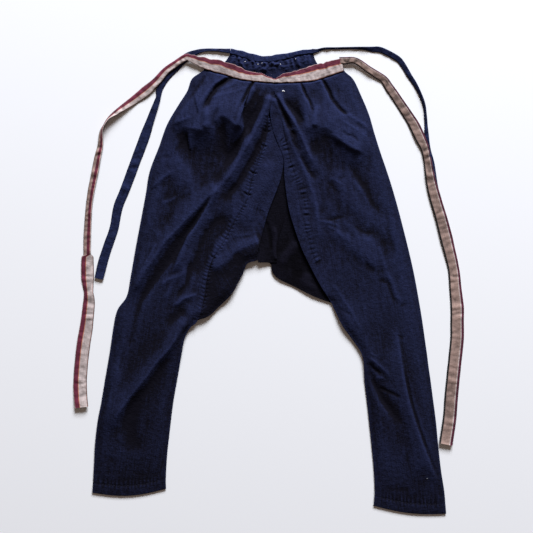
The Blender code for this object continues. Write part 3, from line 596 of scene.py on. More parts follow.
def crumple(points, edge):
    """Soft random waves of washed cotton, in a few sizes, drawn out along the leg, lower on its shin."""
    height = np.zeros(len(points))
    for size, tall in CRUMPLE:
        for index, (x, y) in enumerate(points):
            place = Vector((x, CRUMPLE_STRETCH * y, size * MM))
            height[index] += tall * noise.noise(place / (size * MM))
    calm = LEG_CRUMPLE + (1 - LEG_CRUMPLE) * ease(points[:, 1], LEG_FULL, LEG_START)
    return height * MM * calm * ease(edge, 0, CRUMPLE_EDGE_RUN)


print(len(CREASES), "small creases")

# %% [markdown]
# An open edge is where the laid garment ends on the floor: the sides, the hems, the insides of the legs
# and the crotch. Cloth lies low there and rolls down at its very edge, so the heights and the finishes
# below ask how far a point lies from the nearest open edge.

# %% Open edges
EDGE_POINTS = 12


def side_column(sections):
    """The side edge of a leg, in metres."""
    return np.array([(row.side_x, row.side_y) for row in sections]) * MM


def inner_column(sections):
    """The inner edge of a leg, in metres."""
    return np.array([(row.inner_x, row.inner_y) for row in sections]) * MM


def bowed(start, end, bow):
    """A line between two places, bowed at its middle."""
    share = np.linspace(0, 1, EDGE_POINTS)[:, None]
    line = (1 - share) * start + share * end
    line[:, 1] += (bow * np.sin(np.pi * share))[:, 0]
    return line


def hem_edge(sections, bow):
    """Hem line from the side to the inner edge."""
    last = np.array(sections[-1], dtype=float)
    return bowed(last[:2], last[2:], bow.hem) * MM


def free_edges():
    """Every edge of the laid garment that lies open on the floor."""
    edges = []
    for sections, bow in ((LEFT_SECTIONS, LEFT_BOW), (RIGHT_SECTIONS, RIGHT_BOW)):
        edges.append(smooth_table(side_column(sections)[1:], SPLINE_STEPS))
        edges.append(smooth_table(inner_column(sections)[GUSSET_END:], SPLINE_STEPS))
        edges.append(hem_edge(sections, bow))
    edges.append(curve(CROTCH_LEFT + CROTCH_RIGHT))
    return edges


FREE_EDGES = free_edges()
HEM_LINES = [hem_edge(LEFT_SECTIONS, LEFT_BOW), hem_edge(RIGHT_SECTIONS, RIGHT_BOW)]


def edge_distance(points):
    """Distance of each point from the nearest open edge."""
    return np.min([nearest(points, edge)[0] for edge in FREE_EDGES], axis=0)


print("open edges", len(FREE_EDGES))

# %% [markdown]
# Sewing a slanting edge to a straight one draws the cloth up into a row of small puckers. A seam is a
# path with the pitch and the depth of its puckers, their reach on the left and on the right, the slant
# that they cross it at, and the depth of the groove of the stitches. The puckers could be folds of the
# table above, but there are dozens: one cosine along the seam, made uneven by noise, gives them all.

# %% Puckered seams
Seam = namedtuple("Seam", "path pitch tall left right slant groove")
SEAM_DEPTH = 0.9 * MM
SEAM_HALF_WIDTH = 1.5 * MM
PUCKER_DRIFT_RUN = 26 * MM
PUCKER_CHANGE_RUN = 11 * MM
PUCKER_LEAST = 0.25
PUCKER_MOST = 1.7
PUCKER_CREST = 0.35
STRIP_PUCKERS = [
    Point(24, 282),
    Point(33, 270),
    Point(42, 232),
    Point(62, 192),
    Point(70, 169),
    Point(74, 149),
    Point(76, 120),
    Point(78, 100),
    Point(84, 82),
    Point(89, 54),
    Point(99, 36),
]
GUSSET_JOIN = [Point(-50, 148), Point(-30, 142), Point(-6, 135)]


def seam_path(sections, start):
    """The seam between a leg panel and the gusset."""
    return smooth_table(inner_column(sections)[start:GUSSET_END + 1], SPLINE_STEPS)


SEAMS = [
    Seam(seam_path(LEFT_SECTIONS, GUSSET_START), 7.4, 1.9, 7, 13, 0.25, 1.0),
    Seam(seam_path(RIGHT_SECTIONS, STRIP_START), 8.6, 0, 1, 1, 0.0, 0.35),
    Seam(curve(STRIP_PUCKERS), 8.6, 1.35, 10, 10, 0.0, 0),
    Seam(curve(GUSSET_JOIN), 5.5, 0.8, 9, 9, 0.0, 0.3),
]


def seam_relief(points, seam):
    """The groove of a seam and the small puckers that cross it, uneven in spacing and depth."""
    height = np.zeros(len(points))
    close = around(points, seam.path, 2 * max(seam.left, seam.right) * MM)
    distance, side, run = nearest(points[close], seam.path)
    reach = np.where(side > 0, seam.left, seam.right) * MM
    drift = noise_line(run, PUCKER_DRIFT_RUN, 4.4)
    change = noise_line(run, PUCKER_CHANGE_RUN, 9.1)
    phase = (run + seam.slant * distance) / (seam.pitch * MM) + 0.8 * drift
    dent = np.maximum(np.cos(2 * np.pi * phase), 0) ** 0.9
    strength = seam.tall * MM * np.clip(0.85 + 1.5 * change, PUCKER_LEAST, PUCKER_MOST)
    line = seam.groove * np.exp(-(distance / SEAM_HALF_WIDTH) ** 2)
    pucker = strength * (PUCKER_CREST - dent) * np.exp(-(distance / reach * 1.5) ** 2) * (1 - line)
    height[close] = pucker - line * SEAM_DEPTH * (1 + change)
    return height


print(len(SEAMS), "seams")

# %% [markdown]
# The crotch and the insides of the legs stand a little clear of the floor, and the soft shadow below
# them shows it. A few round bumps raise the front and the back together, so no gap opens between them.

# %% Lift at the crotch
Lift = namedtuple("Lift", "x y reach height")
LIFTS = [
    Lift(-32, 38, 34, 5.4),
    Lift(-72, -22, 40, 6.0),
    Lift(-136, -78, 34, 5.2),
    Lift(-172, -136, 40, 3.4),
    Lift(22, 4, 26, 2.0),
    Lift(84, -30, 40, 2.4),
    Lift(146, -90, 44, 4.0),
    Lift(190, -160, 36, 3.0),
]


def lift(points):
    """How far the crotch and the inner edges stand clear of the floor, front and back together."""
    height = np.zeros(len(points))
    for row in LIFTS:
        away = np.linalg.norm(points / MM - [row.x, row.y], axis=1) / row.reach
        height += row.height * MM * np.exp(-away**2)
    return height


print(len(LIFTS), "lifted places")

# %% [markdown]
# The front belt is a band with a top edge, a low edge and the share of its width that is cream. Its
# table comes before the belt itself, because the front cloth comes down flat below the belt, which
# holds the pleats.

# %% Layout of the front belt
Band = namedtuple("Band", "top_x top_y low_x low_y cream")
FRONT_BAND = [
    Band(-160.5, 451, -161, 437, 0.58),
    Band(-128.5, 444, -125.5, 421, 0.58),
    Band(-90, 436, -89.5, 411, 0.58),
    Band(-59.5, 426, -59, 401.5, 0.5),
    Band(-41.5, 417, -34, 398, 0.6),
    Band(-18.5, 413, -14, 396, 0.78),
    Band(4.5, 404.5, 6, 394.5, 0.77),
    Band(9.5, 402, 10.5, 394, 0.8),
    Band(17, 404.5, 22, 394.5, 0.76),
    Band(30, 411, 37.7, 394.8, 0.61),
    Band(52.5, 417, 62.5, 395.4, 0.65),
    Band(76, 425, 88.5, 398, 0.6),
    Band(101, 431, 114, 405.6, 0.6),
    Band(121.7, 437.4, 139.7, 414.6, 0.55),
    Band(144.5, 442.6, 149.5, 418, 0.62),
]
BAND_LOWER_EDGE = curve([(row.low_x, row.low_y) for row in FRONT_BAND])
print("front belt", len(FRONT_BAND), "places")

# %% [markdown]
# The height of the cloth over the floor is one function of the place. It starts from the layer that
# the piece lies on, adds a little loft that dies away at the open edges, then the folds. Two neighbours
# that share a seam use the same function, so they meet at the same height. Sculpting each panel by hand
# would leave steps at the seams.

# %% Height of the front
CLOTH = 1.2 * MM
FRONT_CLOTH = 1.5 * MM
LAYER_GAP = 0.3 * MM
FRONT_REST = CLOTH + LAYER_GAP
FRONT_LOFT = 4.0 * MM
LOFT_RUN = 11.0 * MM
HEM_LOFT_RUN = 70.0 * MM
FOLD_EDGE_RUN = 18.0 * MM
WAIST_RUN = 5.5 * MM
CRUMPLE_SINK = 0.4 * MM


def waist_ease(points):
    """0 under the front waistband, rising to 1 a little below it."""
    distance, side, _ = nearest(points, BAND_LOWER_EDGE)
    return ease(np.where(side < 0, distance, 0), 0, WAIST_RUN)


def front_height(points):
    """Underside of the front cloth above the floor."""
    edge = edge_distance(points)
    hem = np.min([nearest(points, line)[0] for line in HEM_LINES], axis=0)
    loft = FRONT_LOFT * (1 - np.exp(-(edge / LOFT_RUN) ** 2)) * (1 - np.exp(-(hem / HEM_LOFT_RUN) ** 2))
    folds = all_folds(points, FOLDS) + all_folds(points, BROWS, 1) + all_folds(points, SWELLS, 2)
    folds = folds * ease(edge, 0, FOLD_EDGE_RUN)
    small = all_folds(points, CREASES) * ease(edge, 0, FOLD_EDGE_RUN / 2)
    relief = np.maximum(loft + folds + small, 0) * waist_ease(points)
    seams = sum(seam_relief(points, seam) for seam in SEAMS)
    low = FRONT_REST + lift(points)
    return low + np.maximum(relief + crumple(points, edge) + seams - CRUMPLE_SINK, 0)


thigh = np.array([[-60.0, 200.0]]) * MM
print("left thigh stands", round(front_height(thigh)[0] / MM, 1), "mm high")

# %% [markdown]
# A cloth shell starts as one flat grid with as many cells as the piece needs. Its points are moved to
# the underside, the whole region is extruded, and the new points are moved to the outside, so the
# result is a closed wall whose two sides follow each other. The grid keeps the number of each point,
# and from it come the UV map, in metres along the weave, and the attributes that the finishes read.

# %% Cloth shells
SHELL_CLOTH = 0.9 * MM
SHARP_ANGLE = math.radians(55)


def surface_normals(grid):
    """Upward unit normals of a grid of points."""
    down, right = np.gradient(grid, axis=(0, 1))
    normal = np.cross(right, down)
    normal = normal / np.maximum(np.linalg.norm(normal, axis=2), 1e-12)[..., None]
    return normal * np.sign(normal[..., 2:3] + 1e-9)


def cloth_shell(name, upper, lower, uv, materials, **attributes):
    """Closed cloth wall between two grids of points.

    materials holds the finish of the upper face and, if that differs, of the lower one. Each attribute
    has one value for each point of the grid.
    """
    rows, columns = upper.shape[:2]
    upper = upper.reshape(-1, 3)
    lower = lower.reshape(-1, 3)
    sheet = bmesh.new()
    place = sheet.verts.layers.int.new("place")
    bmesh.ops.create_grid(sheet, x_segments=columns - 1, y_segments=rows - 1, size=0.5)
    for index, vert in enumerate(sheet.verts):
        vert[place] = index
        vert.co = lower[index]
    raised = bmesh.ops.extrude_face_region(sheet, geom=sheet.faces[:])
    for item in raised["geom"]:
        if isinstance(item, bmesh.types.BMVert):
            item.co = upper[item[place]]
    tops = {item for item in raised["geom"] if isinstance(item, bmesh.types.BMFace)}
    for face in sheet.faces:
        face.material_index = 0 if face in tops or len(materials) == 1 else 1
    bmesh.ops.recalc_face_normals(sheet, faces=sheet.faces[:])
    mesh = bpy.data.meshes.new(name)
    sheet.to_mesh(mesh)
    sheet.free()
    order = np.zeros(len(mesh.vertices), np.int32)
    mesh.attributes["place"].data.foreach_get("value", order)
    corner = np.zeros(len(mesh.loops), np.int32)
    mesh.loops.foreach_get("vertex_index", corner)
    weave = mesh.uv_layers.new(name="weave")
    weave.data.foreach_set("uv", uv.reshape(-1, 2)[order[corner]].astype(np.float32).ravel())
    for key, values in attributes.items():
        layer = mesh.attributes.new(key, "FLOAT", "POINT")
        layer.data.foreach_set("value", values.reshape(-1)[order].astype(np.float32))
    mesh.attributes.remove(mesh.attributes["place"])
    for material in materials:
        mesh.materials.append(material)
    mesh.shade_smooth()
    mesh.set_sharp_from_angle(angle=SHARP_ANGLE)
    thing = put_in_scene(name, mesh)
    print(name, rows, "x", columns, "grid,", 2 * len(mesh.polygons), "triangles")
    return thing


print("cloth is", SHELL_CLOTH / MM, "mm thick")

# %% [markdown]
# The plan of a piece is a grid of places, seen from above, between its four edges. Both long edges get
# the same number of points, and each row of the grid runs from one to the other. The short edges may
# be bowed, and the bow dies away towards the other end. The plan also gives the size of the cut.

# %% Plans of the pieces
# A pointed piece fills at least this share of the rectangle that states its cut
LEAST_FILL = 0.32


def rows_of(column, cell):
    """How many grid rows a panel needs for its longest edge."""
    return int(lengths_along(column)[-1] / cell) + 1


def follow(column, rows):
    """An edge with its points spread evenly by section number, so both edges of a panel keep in step."""
    marks = np.linspace(0, len(column) - 1, rows)
    index = np.arange(len(column))
    return np.column_stack([np.interp(marks, index, values) for values in column.T])


def bow_of(edge, columns):
    """How far an edge departs from the straight line between its ends."""
    share = np.linspace(0, 1, columns)[:, None]
    return spread(edge, columns) - (1 - share) * edge[0] - share * edge[-1]


def patch(left, right, columns, top=None, bottom=None):
    """Plan of a panel between its four edges, as rows of points from the waist down."""
    share = np.linspace(0, 1, columns)[None, :, None]
    down = np.linspace(0, 1, len(left))[:, None, None]
    plan = (1 - share) * left[:, None, :] + share * right[:, None, :]
    if top is not None:
        plan = plan + (1 - down) * bow_of(top, columns)[None]
    if bottom is not None:
        plan = plan + down * bow_of(bottom, columns)[None]
    return plan


def inset_columns(left, right, gap_left, gap_right):
    """Draws both edges of a panel in along its sections."""
    across = right - left
    across = across / np.linalg.norm(across, axis=1)[:, None]
    return left + across * gap_left, right - across * gap_right


def wall(plan, top, thickness):
    """Upper and lower grid of a cloth whose outside lies at the heights top over a plan."""
    rows, columns = plan.shape[:2]
    upper = np.dstack([plan, top.reshape(rows, columns)])
    return upper, upper - surface_normals(upper) * thickness


def grain(plan, turn):
    """UV in metres: the plan, turned so that V runs along the warp."""
    spin = np.array([[math.cos(turn), -math.sin(turn)], [math.sin(turn), math.cos(turn)]])
    return plan @ spin


def cut_of(plan):
    """Flat width, length and area of a piece, from its plan."""
    width = lengths_along(plan[0])[-1]
    for row in plan:
        width = max(width, lengths_along(row)[-1])
    length = max(lengths_along(plan[:, 0])[-1], lengths_along(plan[:, -1])[-1])
    one = plan[1:, 1:] - plan[:-1, :-1]
    other = plan[1:, :-1] - plan[:-1, 1:]
    area = abs((one[..., 0] * other[..., 1] - one[..., 1] * other[..., 0]).sum()) / 2
    return (min(width, area / (LEAST_FILL * length)), length), area


print("plan tools ready")

# %% [markdown]
# Blender builds a finish from nodes that are joined by links. Typing every node and link out would make
# each finish a page long, so one small class adds the kinds of node that cloth needs and joins them.
# A colour or a number may be given to it as it is, or as the output of another node.

# %% Helper for the finishes
THREAD_PITCH = 0.75 * MM
# A wave texture repeats every 0.314 / scale, so at this scale one wave spans about six threads
WAVE_SCALE = 0.05 / THREAD_PITCH


class Finish:
    """A small helper that adds and links nodes of one material."""

    def __init__(self, name, colour, roughness, specular, sheen):
        self.material = bpy.data.materials.new(name)
        self.material.use_nodes = True
        self.tree = self.material.node_tree
        self.shader = self.tree.nodes["Principled BSDF"]
        self.shader.inputs["Base Color"].default_value = (*colour, 1)
        self.shader.inputs["Roughness"].default_value = roughness
        self.shader.inputs["Specular IOR Level"].default_value = specular
        self.shader.inputs["Sheen Weight"].default_value = sheen
        self.material.diffuse_color = (*colour, 1)

    def node(self, kind, **values):
        """A new node with some of its settings."""
        made = self.tree.nodes.new(kind)
        for key, value in values.items():
            setattr(made, key, value)
        return made

    def link(self, source, target):
        """Joins an output to an input."""
        self.tree.links.new(source, target)

    def weave_coordinates(self, scale):
        """The cloth's UV map, stretched."""
        source = self.node("ShaderNodeUVMap", uv_map="weave")
        mapping = self.node("ShaderNodeMapping")
        mapping.inputs["Scale"].default_value = scale
        self.link(source.outputs["UV"], mapping.inputs["Vector"])
        return mapping.outputs["Vector"]

    def object_coordinates(self):
        """Places in metres in the piece's own space."""
        return self.node("ShaderNodeTexCoord").outputs["Object"]

    def noise(self, vector, scale, detail=2.0, roughness=0.5):
        """Cloudy noise over some coordinates."""
        made = self.node("ShaderNodeTexNoise")
        made.inputs["Scale"].default_value = scale
        made.inputs["Detail"].default_value = detail
        made.inputs["Roughness"].default_value = roughness
        self.link(vector, made.inputs["Vector"])
        return made.outputs["Fac"]

    def waves(self, vector, direction):
        """Even waves of bundled threads, across X or Y of some coordinates."""
        made = self.node("ShaderNodeTexWave", bands_direction=direction)
        made.inputs["Scale"].default_value = WAVE_SCALE
        made.inputs["Distortion"].default_value = 0.6
        self.link(vector, made.inputs["Vector"])
        return made.outputs["Fac"]

    def spread_to(self, value, low, high, start=0.3, end=0.7):
        """Maps a noise value from start..end to low..high."""
        made = self.node("ShaderNodeMapRange")
        made.inputs["From Min"].default_value = start
        made.inputs["From Max"].default_value = end
        made.inputs["To Min"].default_value = low
        made.inputs["To Max"].default_value = high
        self.link(value, made.inputs["Value"])
        return made.outputs["Result"]

    def math(self, operation, first, second):
        """One step of arithmetic on two values or sockets."""
        made = self.node("ShaderNodeMath", operation=operation)
        for slot, value in zip(made.inputs, (first, second)):
            if isinstance(value, (int, float)):
                slot.default_value = value
            else:
                self.link(value, slot)
        return made.outputs[0]

    def total(self, *values):
        """The sum of any number of values or sockets, added up from left to right."""
        result = values[0]
        for value in values[1:]:
            result = self.math("ADD", result, value)
        return result

    def attribute(self, name):
        """A value that the cloth's points carry."""
        return self.node("ShaderNodeAttribute", attribute_name=name).outputs["Fac"]

    def blend(self, share, first, second, kind="MIX"):
        """Mixes two colours or values, each given as it is or as a socket."""
        made = self.node("ShaderNodeMix", data_type="RGBA", blend_type=kind)
        for slot, value in ((made.inputs[0], share), (made.inputs[6], first), (made.inputs[7], second)):
            if isinstance(value, (int, float)):
                slot.default_value = value
            elif isinstance(value, tuple):
                slot.default_value = (*value, 1)
            else:
                self.link(value, slot)
        return made.outputs[2]

    def ramp(self, value, stops):
        """Colours at positions, stepped sharply where two stops lie close."""
        made = self.node("ShaderNodeValToRGB")
        ramp = made.color_ramp
        while len(ramp.elements) < len(stops):
            ramp.elements.new(0.5)
        for element, (place, colour) in zip(ramp.elements, stops):
            element.position = place
            element.color = (*colour, 1)
        self.link(value, made.inputs["Fac"])
        return made.outputs["Color"]

    def bump(self, height, distance, strength=1.0, before=None):
        """Fine relief in the shading alone, on top of the one before it."""
        made = self.node("ShaderNodeBump")
        made.inputs["Distance"].default_value = distance
        made.inputs["Strength"].default_value = strength
        self.link(height, made.inputs["Height"])
        if before is not None:
            self.link(before, made.inputs["Normal"])
        return made.outputs["Normal"]

    def finish(self, colour, normal):
        """Joins the colour and the relief to the shader."""
        self.link(colour, self.shader.inputs["Base Color"])
        self.link(normal, self.shader.inputs["Normal"])
        return self.material


print("finish helper ready")

# %% [markdown]
# Indigo cotton is nearly black where it is deeply dyed and lighter where wash and wear have taken the
# dye off the raised threads. Fine uneven threads run along the warp. The finish is built from noise
# that is stretched along the weave's own UV map and from broad patches in object space, added up to one
# share of fading together with the points' attribute, which also holds painted light and painted shade.
# Bump gives the crinkle and a faint weave. Its waves are bundles of threads, because single threads are
# too fine to show from where the camera hangs. Cotton has no gloss, so the highlight is weak. The cloth
# inside the gusset has seen little wear, and it gets a darker finish of its own, which is also painted
# shade for the tuck and the back gusset that lie in the shade of the folds around them.

# %% Indigo cotton
def indigo_cotton(name, deep, faded):
    """Plain-woven indigo cotton with slubs along the warp, wash fading and a crinkled surface."""
    cloth = Finish(name, faded, 0.9, 0.05, 0.0)
    slub = cloth.noise(cloth.weave_coordinates((420, 16, 1)), 1.0, 3.0, 0.6)
    weft = cloth.noise(cloth.weave_coordinates((50, 520, 1)), 1.0, 3.0, 0.6)
    fleck = cloth.noise(cloth.weave_coordinates((420, 400, 1)), 1.0, 2.0, 0.7)
    wash = cloth.noise(cloth.object_coordinates(), 7.0, 3.0, 0.55)
    crinkle = cloth.noise(cloth.object_coordinates(), 150.0, 3.0, 0.6)
    fade = cloth.total(
        cloth.spread_to(slub, -0.13, 0.15),
        cloth.spread_to(wash, 0.44, 0.51),
        cloth.spread_to(weft, -0.05, 0.06),
        cloth.spread_to(fleck, -0.20, 0.22),
        cloth.spread_to(crinkle, -0.12, 0.14),
        # The points' attribute holds wear together with painted light and painted shade
        cloth.attribute("wear"),
    )
    colour = cloth.blend(cloth.spread_to(fade, 0, 1, 0, 1), deep, faded)
    weave = cloth.weave_coordinates((1, 1, 1))
    threads = cloth.total(cloth.waves(weave, "X"), cloth.waves(weave, "Y"))
    normal = cloth.bump(threads, 0.06 * MM, 0.5)
    normal = cloth.bump(crinkle, 1.8 * MM, 0.8, normal)
    normal = cloth.bump(fleck, 0.7 * MM, 0.7, normal)
    return cloth.finish(colour, normal)


INDIGO = indigo_cotton("indigo_cotton", (0.0046, 0.0042, 0.0086), (0.0180, 0.0238, 0.0710))
# Painted shade: this darker finish stands in for the shade that the tuck and the back gusset lie in
UNWORN_AND_SHADED = indigo_cotton("indigo_cotton_unworn_and_shaded", (0.0018, 0.0015, 0.0030), (0.0074, 0.0070, 0.0150))
print("made", INDIGO.name, UNWORN_AND_SHADED.name)

# %% [markdown]
# Where the dye goes, and where light and shade are painted in, is worked out for each point and kept
# as an attribute. Crests are rubbed pale and hollows stay dark: partly wear, and partly a painted
# highlight on the crests and painted shade in the hollows. So the height is compared with its own
# blurred copy, once over a few millimetres and once over a few centimetres. The legs are darker towards
# the hem. A short table of soft ovals paints light on some places, and shade on others where its value
# is negative. Painting this by hand would not follow the folds.

# %% Wear and painted shade
Relief = namedtuple("Relief", "cells height least most")
# Both sizes paint light and shade as well as wear: a painted highlight on crests, painted shade in hollows
FINE_WEAR_AND_SHADE = Relief(3, 3 * MM, -0.22, 0.26)
BROAD_WEAR_AND_SHADE = Relief(14, 6 * MM, -0.42, 0.16)
LEG_DARKENING_TOP = 0.30
LEG_DARKENING_RUN = 0.75
LEG_DARKENING_DROP = 0.34
Fade = namedtuple("Fade", "x y wide tall turn wear")
# Painted light and painted shade in soft ovals; a negative value is painted shade
PAINTED_LIGHT_SPOTS = [
    Fade(-197, 210, 60, 60, 0, -0.04),
    Fade(-227, 90, 55, 60, 0, -0.07),
    Fade(-267, -110, 50, 50, 0, -0.09),
    Fade(-232, -262, 34, 80, -14, -0.16),
    Fade(182, 180, 60, 50, 0, -0.14),
    Fade(222, -262, 26, 54, 22, -0.2),
    Fade(274, -360, 44, 56, 0, 0.10),
    Fade(-23, 182, 40, 50, 0, 0.05),
]


def blur(values, reach):
    """Mean of a grid of values over a square of cells, twice over."""
    for axis in (0, 1, 0, 1):
        margins = [(0, 0), (0, 0)]
        margins[axis] = (reach + 1, reach)
        total = np.cumsum(np.pad(values, margins, mode="edge"), axis=axis)
        ahead = np.take(total, range(2 * reach + 1, total.shape[axis]), axis=axis)
        behind = np.take(total, range(total.shape[axis] - 2 * reach - 1), axis=axis)
        values = (ahead - behind) / (2 * reach + 1)
    return values


def worn_and_shaded(height, relief):
    """Paler crests and darker hollows, as wear and as painted highlight and painted shade, for relief of
    about one size.
    """
    return np.clip((height - blur(height, relief.cells)) / relief.height, relief.least, relief.most)


def painted_light_spots(plan):
    """Painted light and painted shade in soft ovals, darker where the value is negative."""
    wear = np.zeros(plan.shape[:2])
    for row in PAINTED_LIGHT_SPOTS:
        spot = grain(plan - np.array([row.x, row.y]) * MM, math.radians(row.turn)) / MM
        wear += row.wear * np.exp(-((spot[..., 0] / row.wide) ** 2) - (spot[..., 1] / row.tall) ** 2)
    return wear


def wear_and_shade_of(upper, dye_and_painted_light=0.0, calm=1.0):
    """How pale each point is: crests paler and hollows darker, by wear and painted shade, and darker
    towards the hem.
    """
    height = upper[..., 2]
    folds = worn_and_shaded(height, FINE_WEAR_AND_SHADE) + worn_and_shaded(height, BROAD_WEAR_AND_SHADE)
    down = (LEG_DARKENING_TOP - upper[..., 1]) / LEG_DARKENING_RUN
    return calm * folds - LEG_DARKENING_DROP * np.clip(down, 0, 1) - dye_and_painted_light


print(len(PAINTED_LIGHT_SPOTS), "faded places")

# %% [markdown]
# The side and inner edges of the front cloth are pressed and roll down to the back panel. The hem is
# turned up, so the cloth is a layer thicker there, and the row of hand stitches along its upper edge
# puckers it. Both are small changes of height, so they are added to it and need no mesh of their own.

# %% Edges and hems
EDGE_ROLL = 3.5 * MM
ROLL_DROP = 0.8 * MM
HEM_DEPTH = 20.0 * MM
HEM_EXTRA = 0.5 * MM
HEM_STEP_RUN = 4.0 * MM
HEM_PUCKER = 0.55 * MM
HEM_PUCKER_PITCH = 8.0 * MM
HEM_PUCKER_RUN = 11.0 * MM
HEM_DRIFT_RUN = 30 * MM


def edge_roll(points):
    """How far the outside of the cloth comes down at an open edge."""
    share = np.clip(edge_distance(points) / EDGE_ROLL, 0, 1)
    return ROLL_DROP * (1 - np.sqrt(1 - (1 - share) ** 2))


def hem_swell(plan):
    """The turned-up hem lifts the cloth by its second layer, and its seam puckers the edge of it."""
    depth = np.linalg.norm(plan - plan[-1][None], axis=2)
    across = lengths_along(plan[-1])
    drift = noise_line(across, HEM_DRIFT_RUN, 1.7)
    wave = np.cos(2 * np.pi * (across / HEM_PUCKER_PITCH + drift))[None, :]
    pucker = HEM_PUCKER * wave * np.exp(-((depth - HEM_DEPTH) / HEM_PUCKER_RUN) ** 2)
    stitch = SEAM_DEPTH / 2 * np.exp(-((depth - HEM_DEPTH) / SEAM_HALF_WIDTH) ** 2)
    return HEM_EXTRA * (1 - ease(depth, HEM_DEPTH - HEM_STEP_RUN, HEM_DEPTH)) + pucker - stitch


print("hems are", HEM_DEPTH / MM, "mm deep")

# %% [markdown]
# The two front panels carry nearly all of the picture. Each is one shell on a fine grid, from the side
# edge to the gusset seam and from the waist to the hem. The warp runs down the leg, so each side has
# its own grain. At an open edge the dye is rubbed off in a thin pale rim, and the folds' wear and painted
# shade die away. The left panel gets a little painted shade all over. Every finished piece is kept by
# its solid's name, for the stitches that come last.

# %% Front panels
CELL = 1.9 * MM
SEAM_GAP = 0.04 * MM
RIM_WEAR = 0.24
RIM_RUN = 2.4 * MM
RIM_CALM = 30.0 * MM
# Painted shade: the whole left front is made a little darker, as the light falls on it less
LEFT_PAINTED_SHADE = 0.05
LEFT_GRAIN = math.radians(-9)
RIGHT_GRAIN = math.radians(9)

finished = {}


def dress(thing, node, cut):
    """Keeps the cloth for one solid by the solid's name, hangs it on the root and hides the solid."""
    finished[node] = thing
    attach(thing, "root")
    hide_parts(node)
    return thing


def front_cloth(name, plan, turn, extra, dye_and_painted_light=0.0):
    """One piece of the front in indigo cotton."""
    points = plan.reshape(-1, 2)
    top = front_height(points) + extra.reshape(-1) + FRONT_CLOTH - edge_roll(points)
    upper, lower = wall(plan, top, SHELL_CLOTH)
    edge = edge_distance(points).reshape(plan.shape[:2])
    rim = RIM_WEAR * np.exp(-(edge / RIM_RUN) ** 2)
    # Painted shade comes in with the given amount and the painted ovals, beside the wear of the rim and
    # folds
    wear = wear_and_shade_of(upper, dye_and_painted_light - rim - painted_light_spots(plan), ease(edge, 0, RIM_CALM))
    thing = cloth_shell(name + "_cloth", upper, lower, grain(plan, turn), [INDIGO], wear=wear)
    return dress(thing, name, cut_of(plan))


def front_panel(name, sections, bow, turn, dye_and_painted_light):
    """One front leg panel, from the side edge to the gusset seam."""
    side = smooth_table(side_column(sections), SPLINE_STEPS)
    inner = smooth_table(inner_column(sections), SPLINE_STEPS)
    rows = rows_of(side, CELL)
    side, inner = inset_columns(follow(side, rows), follow(inner, rows), SEAM_GAP / 2, SEAM_GAP / 2)
    columns = int(np.linalg.norm(inner - side, axis=1).mean() / CELL) + 1
    waist = bowed(side[0], inner[0], bow.waist * MM)
    plan = patch(side, inner, columns, waist, hem_edge(sections, bow))
    return front_cloth(name, plan, turn, hem_swell(plan), dye_and_painted_light)


front_panel("front_left", LEFT_SECTIONS, LEFT_BOW, LEFT_GRAIN, LEFT_PAINTED_SHADE)
front_panel("front_right", RIGHT_SECTIONS, RIGHT_BOW, RIGHT_GRAIN, 0.0)

# %% [markdown]
# The gusset is the diamond of cloth that gives the seat its room. From the front it shows in two
# halves: the wide left one with a soft folded edge, and the narrow right strip. Between them lie the
# tuck and, deeper, the back gusset, which closes the crotch. Each half is one more piece of the front,
# so it takes its heights from the same function. Below the brow of its lowest fold the left half turns
# under, away from the light, and there it gets painted shade.

# %% Gusset
GUSSET_CELL = 1.35 * MM
GUSSET_COLUMNS = 96
STRIP_COLUMNS = 30
TUCK_COLUMNS = 26
TUCK_REST = CLOTH + LAYER_GAP
# Painted shade on the tuck and the back gusset, which lie in the shade between the gusset's halves
TUCK_PAINTED_SHADE = 0.08
# Painted shade below the brow, where the left half turns away from the light
CROTCH_PAINTED_SHADE = 0.42
CROTCH_SHADE_RUN = 9.0 * MM
# Turn of the warp against the long direction of the garment, in radians
GUSSET_GRAIN = 0.5
STRIP_GRAIN = -0.3
TUCK_GRAIN = 0.2


def gusset_plan(left, right, rows, columns, bottom=None):
    """Plan of a piece of the gusset, drawn in by half a seam's gap on each side."""
    left, right = inset_columns(follow(left, rows), follow(right, rows), SEAM_GAP / 2, SEAM_GAP / 2)
    return patch(left, right, columns, bottom=bottom)


def gusset_seam(sections, start):
    """The seam of a leg panel with the gusset."""
    inner = smooth_table(inner_column(sections), SPLINE_STEPS)
    return inner[start * SPLINE_STEPS:GUSSET_END * SPLINE_STEPS + 1]


def gusset_left():
    """The wide left half of the gusset, with painted shade where it turns under at the crotch."""
    seam = gusset_seam(LEFT_SECTIONS, GUSSET_START)
    rows = rows_of(seam, GUSSET_CELL)
    plan = gusset_plan(seam, curve(GUSSET_FOLD), rows, GUSSET_COLUMNS, curve(CROTCH_LEFT))
    distance, side, _ = nearest(plan.reshape(-1, 2), curve(BROWS[-1].path))
    below = np.where(side < 0, distance, 0).reshape(plan.shape[:2])
    # Painted shade below the brow of the lowest fold
    dye_and_painted_light = CROTCH_PAINTED_SHADE * ease(below, 0, CROTCH_SHADE_RUN)
    no_hem = np.zeros(plan.shape[:2])
    return front_cloth("gusset_front_left", plan, GUSSET_GRAIN, no_hem, dye_and_painted_light)


def gusset_strip():
    """The narrow right half of the gusset."""
    seam = gusset_seam(RIGHT_SECTIONS, STRIP_START)
    plan = gusset_plan(curve(STRIP_FOLD), seam, rows_of(seam, GUSSET_CELL), STRIP_COLUMNS)
    no_hem = np.zeros(plan.shape[:2])
    return front_cloth("gusset_front_right", plan, STRIP_GRAIN, no_hem)


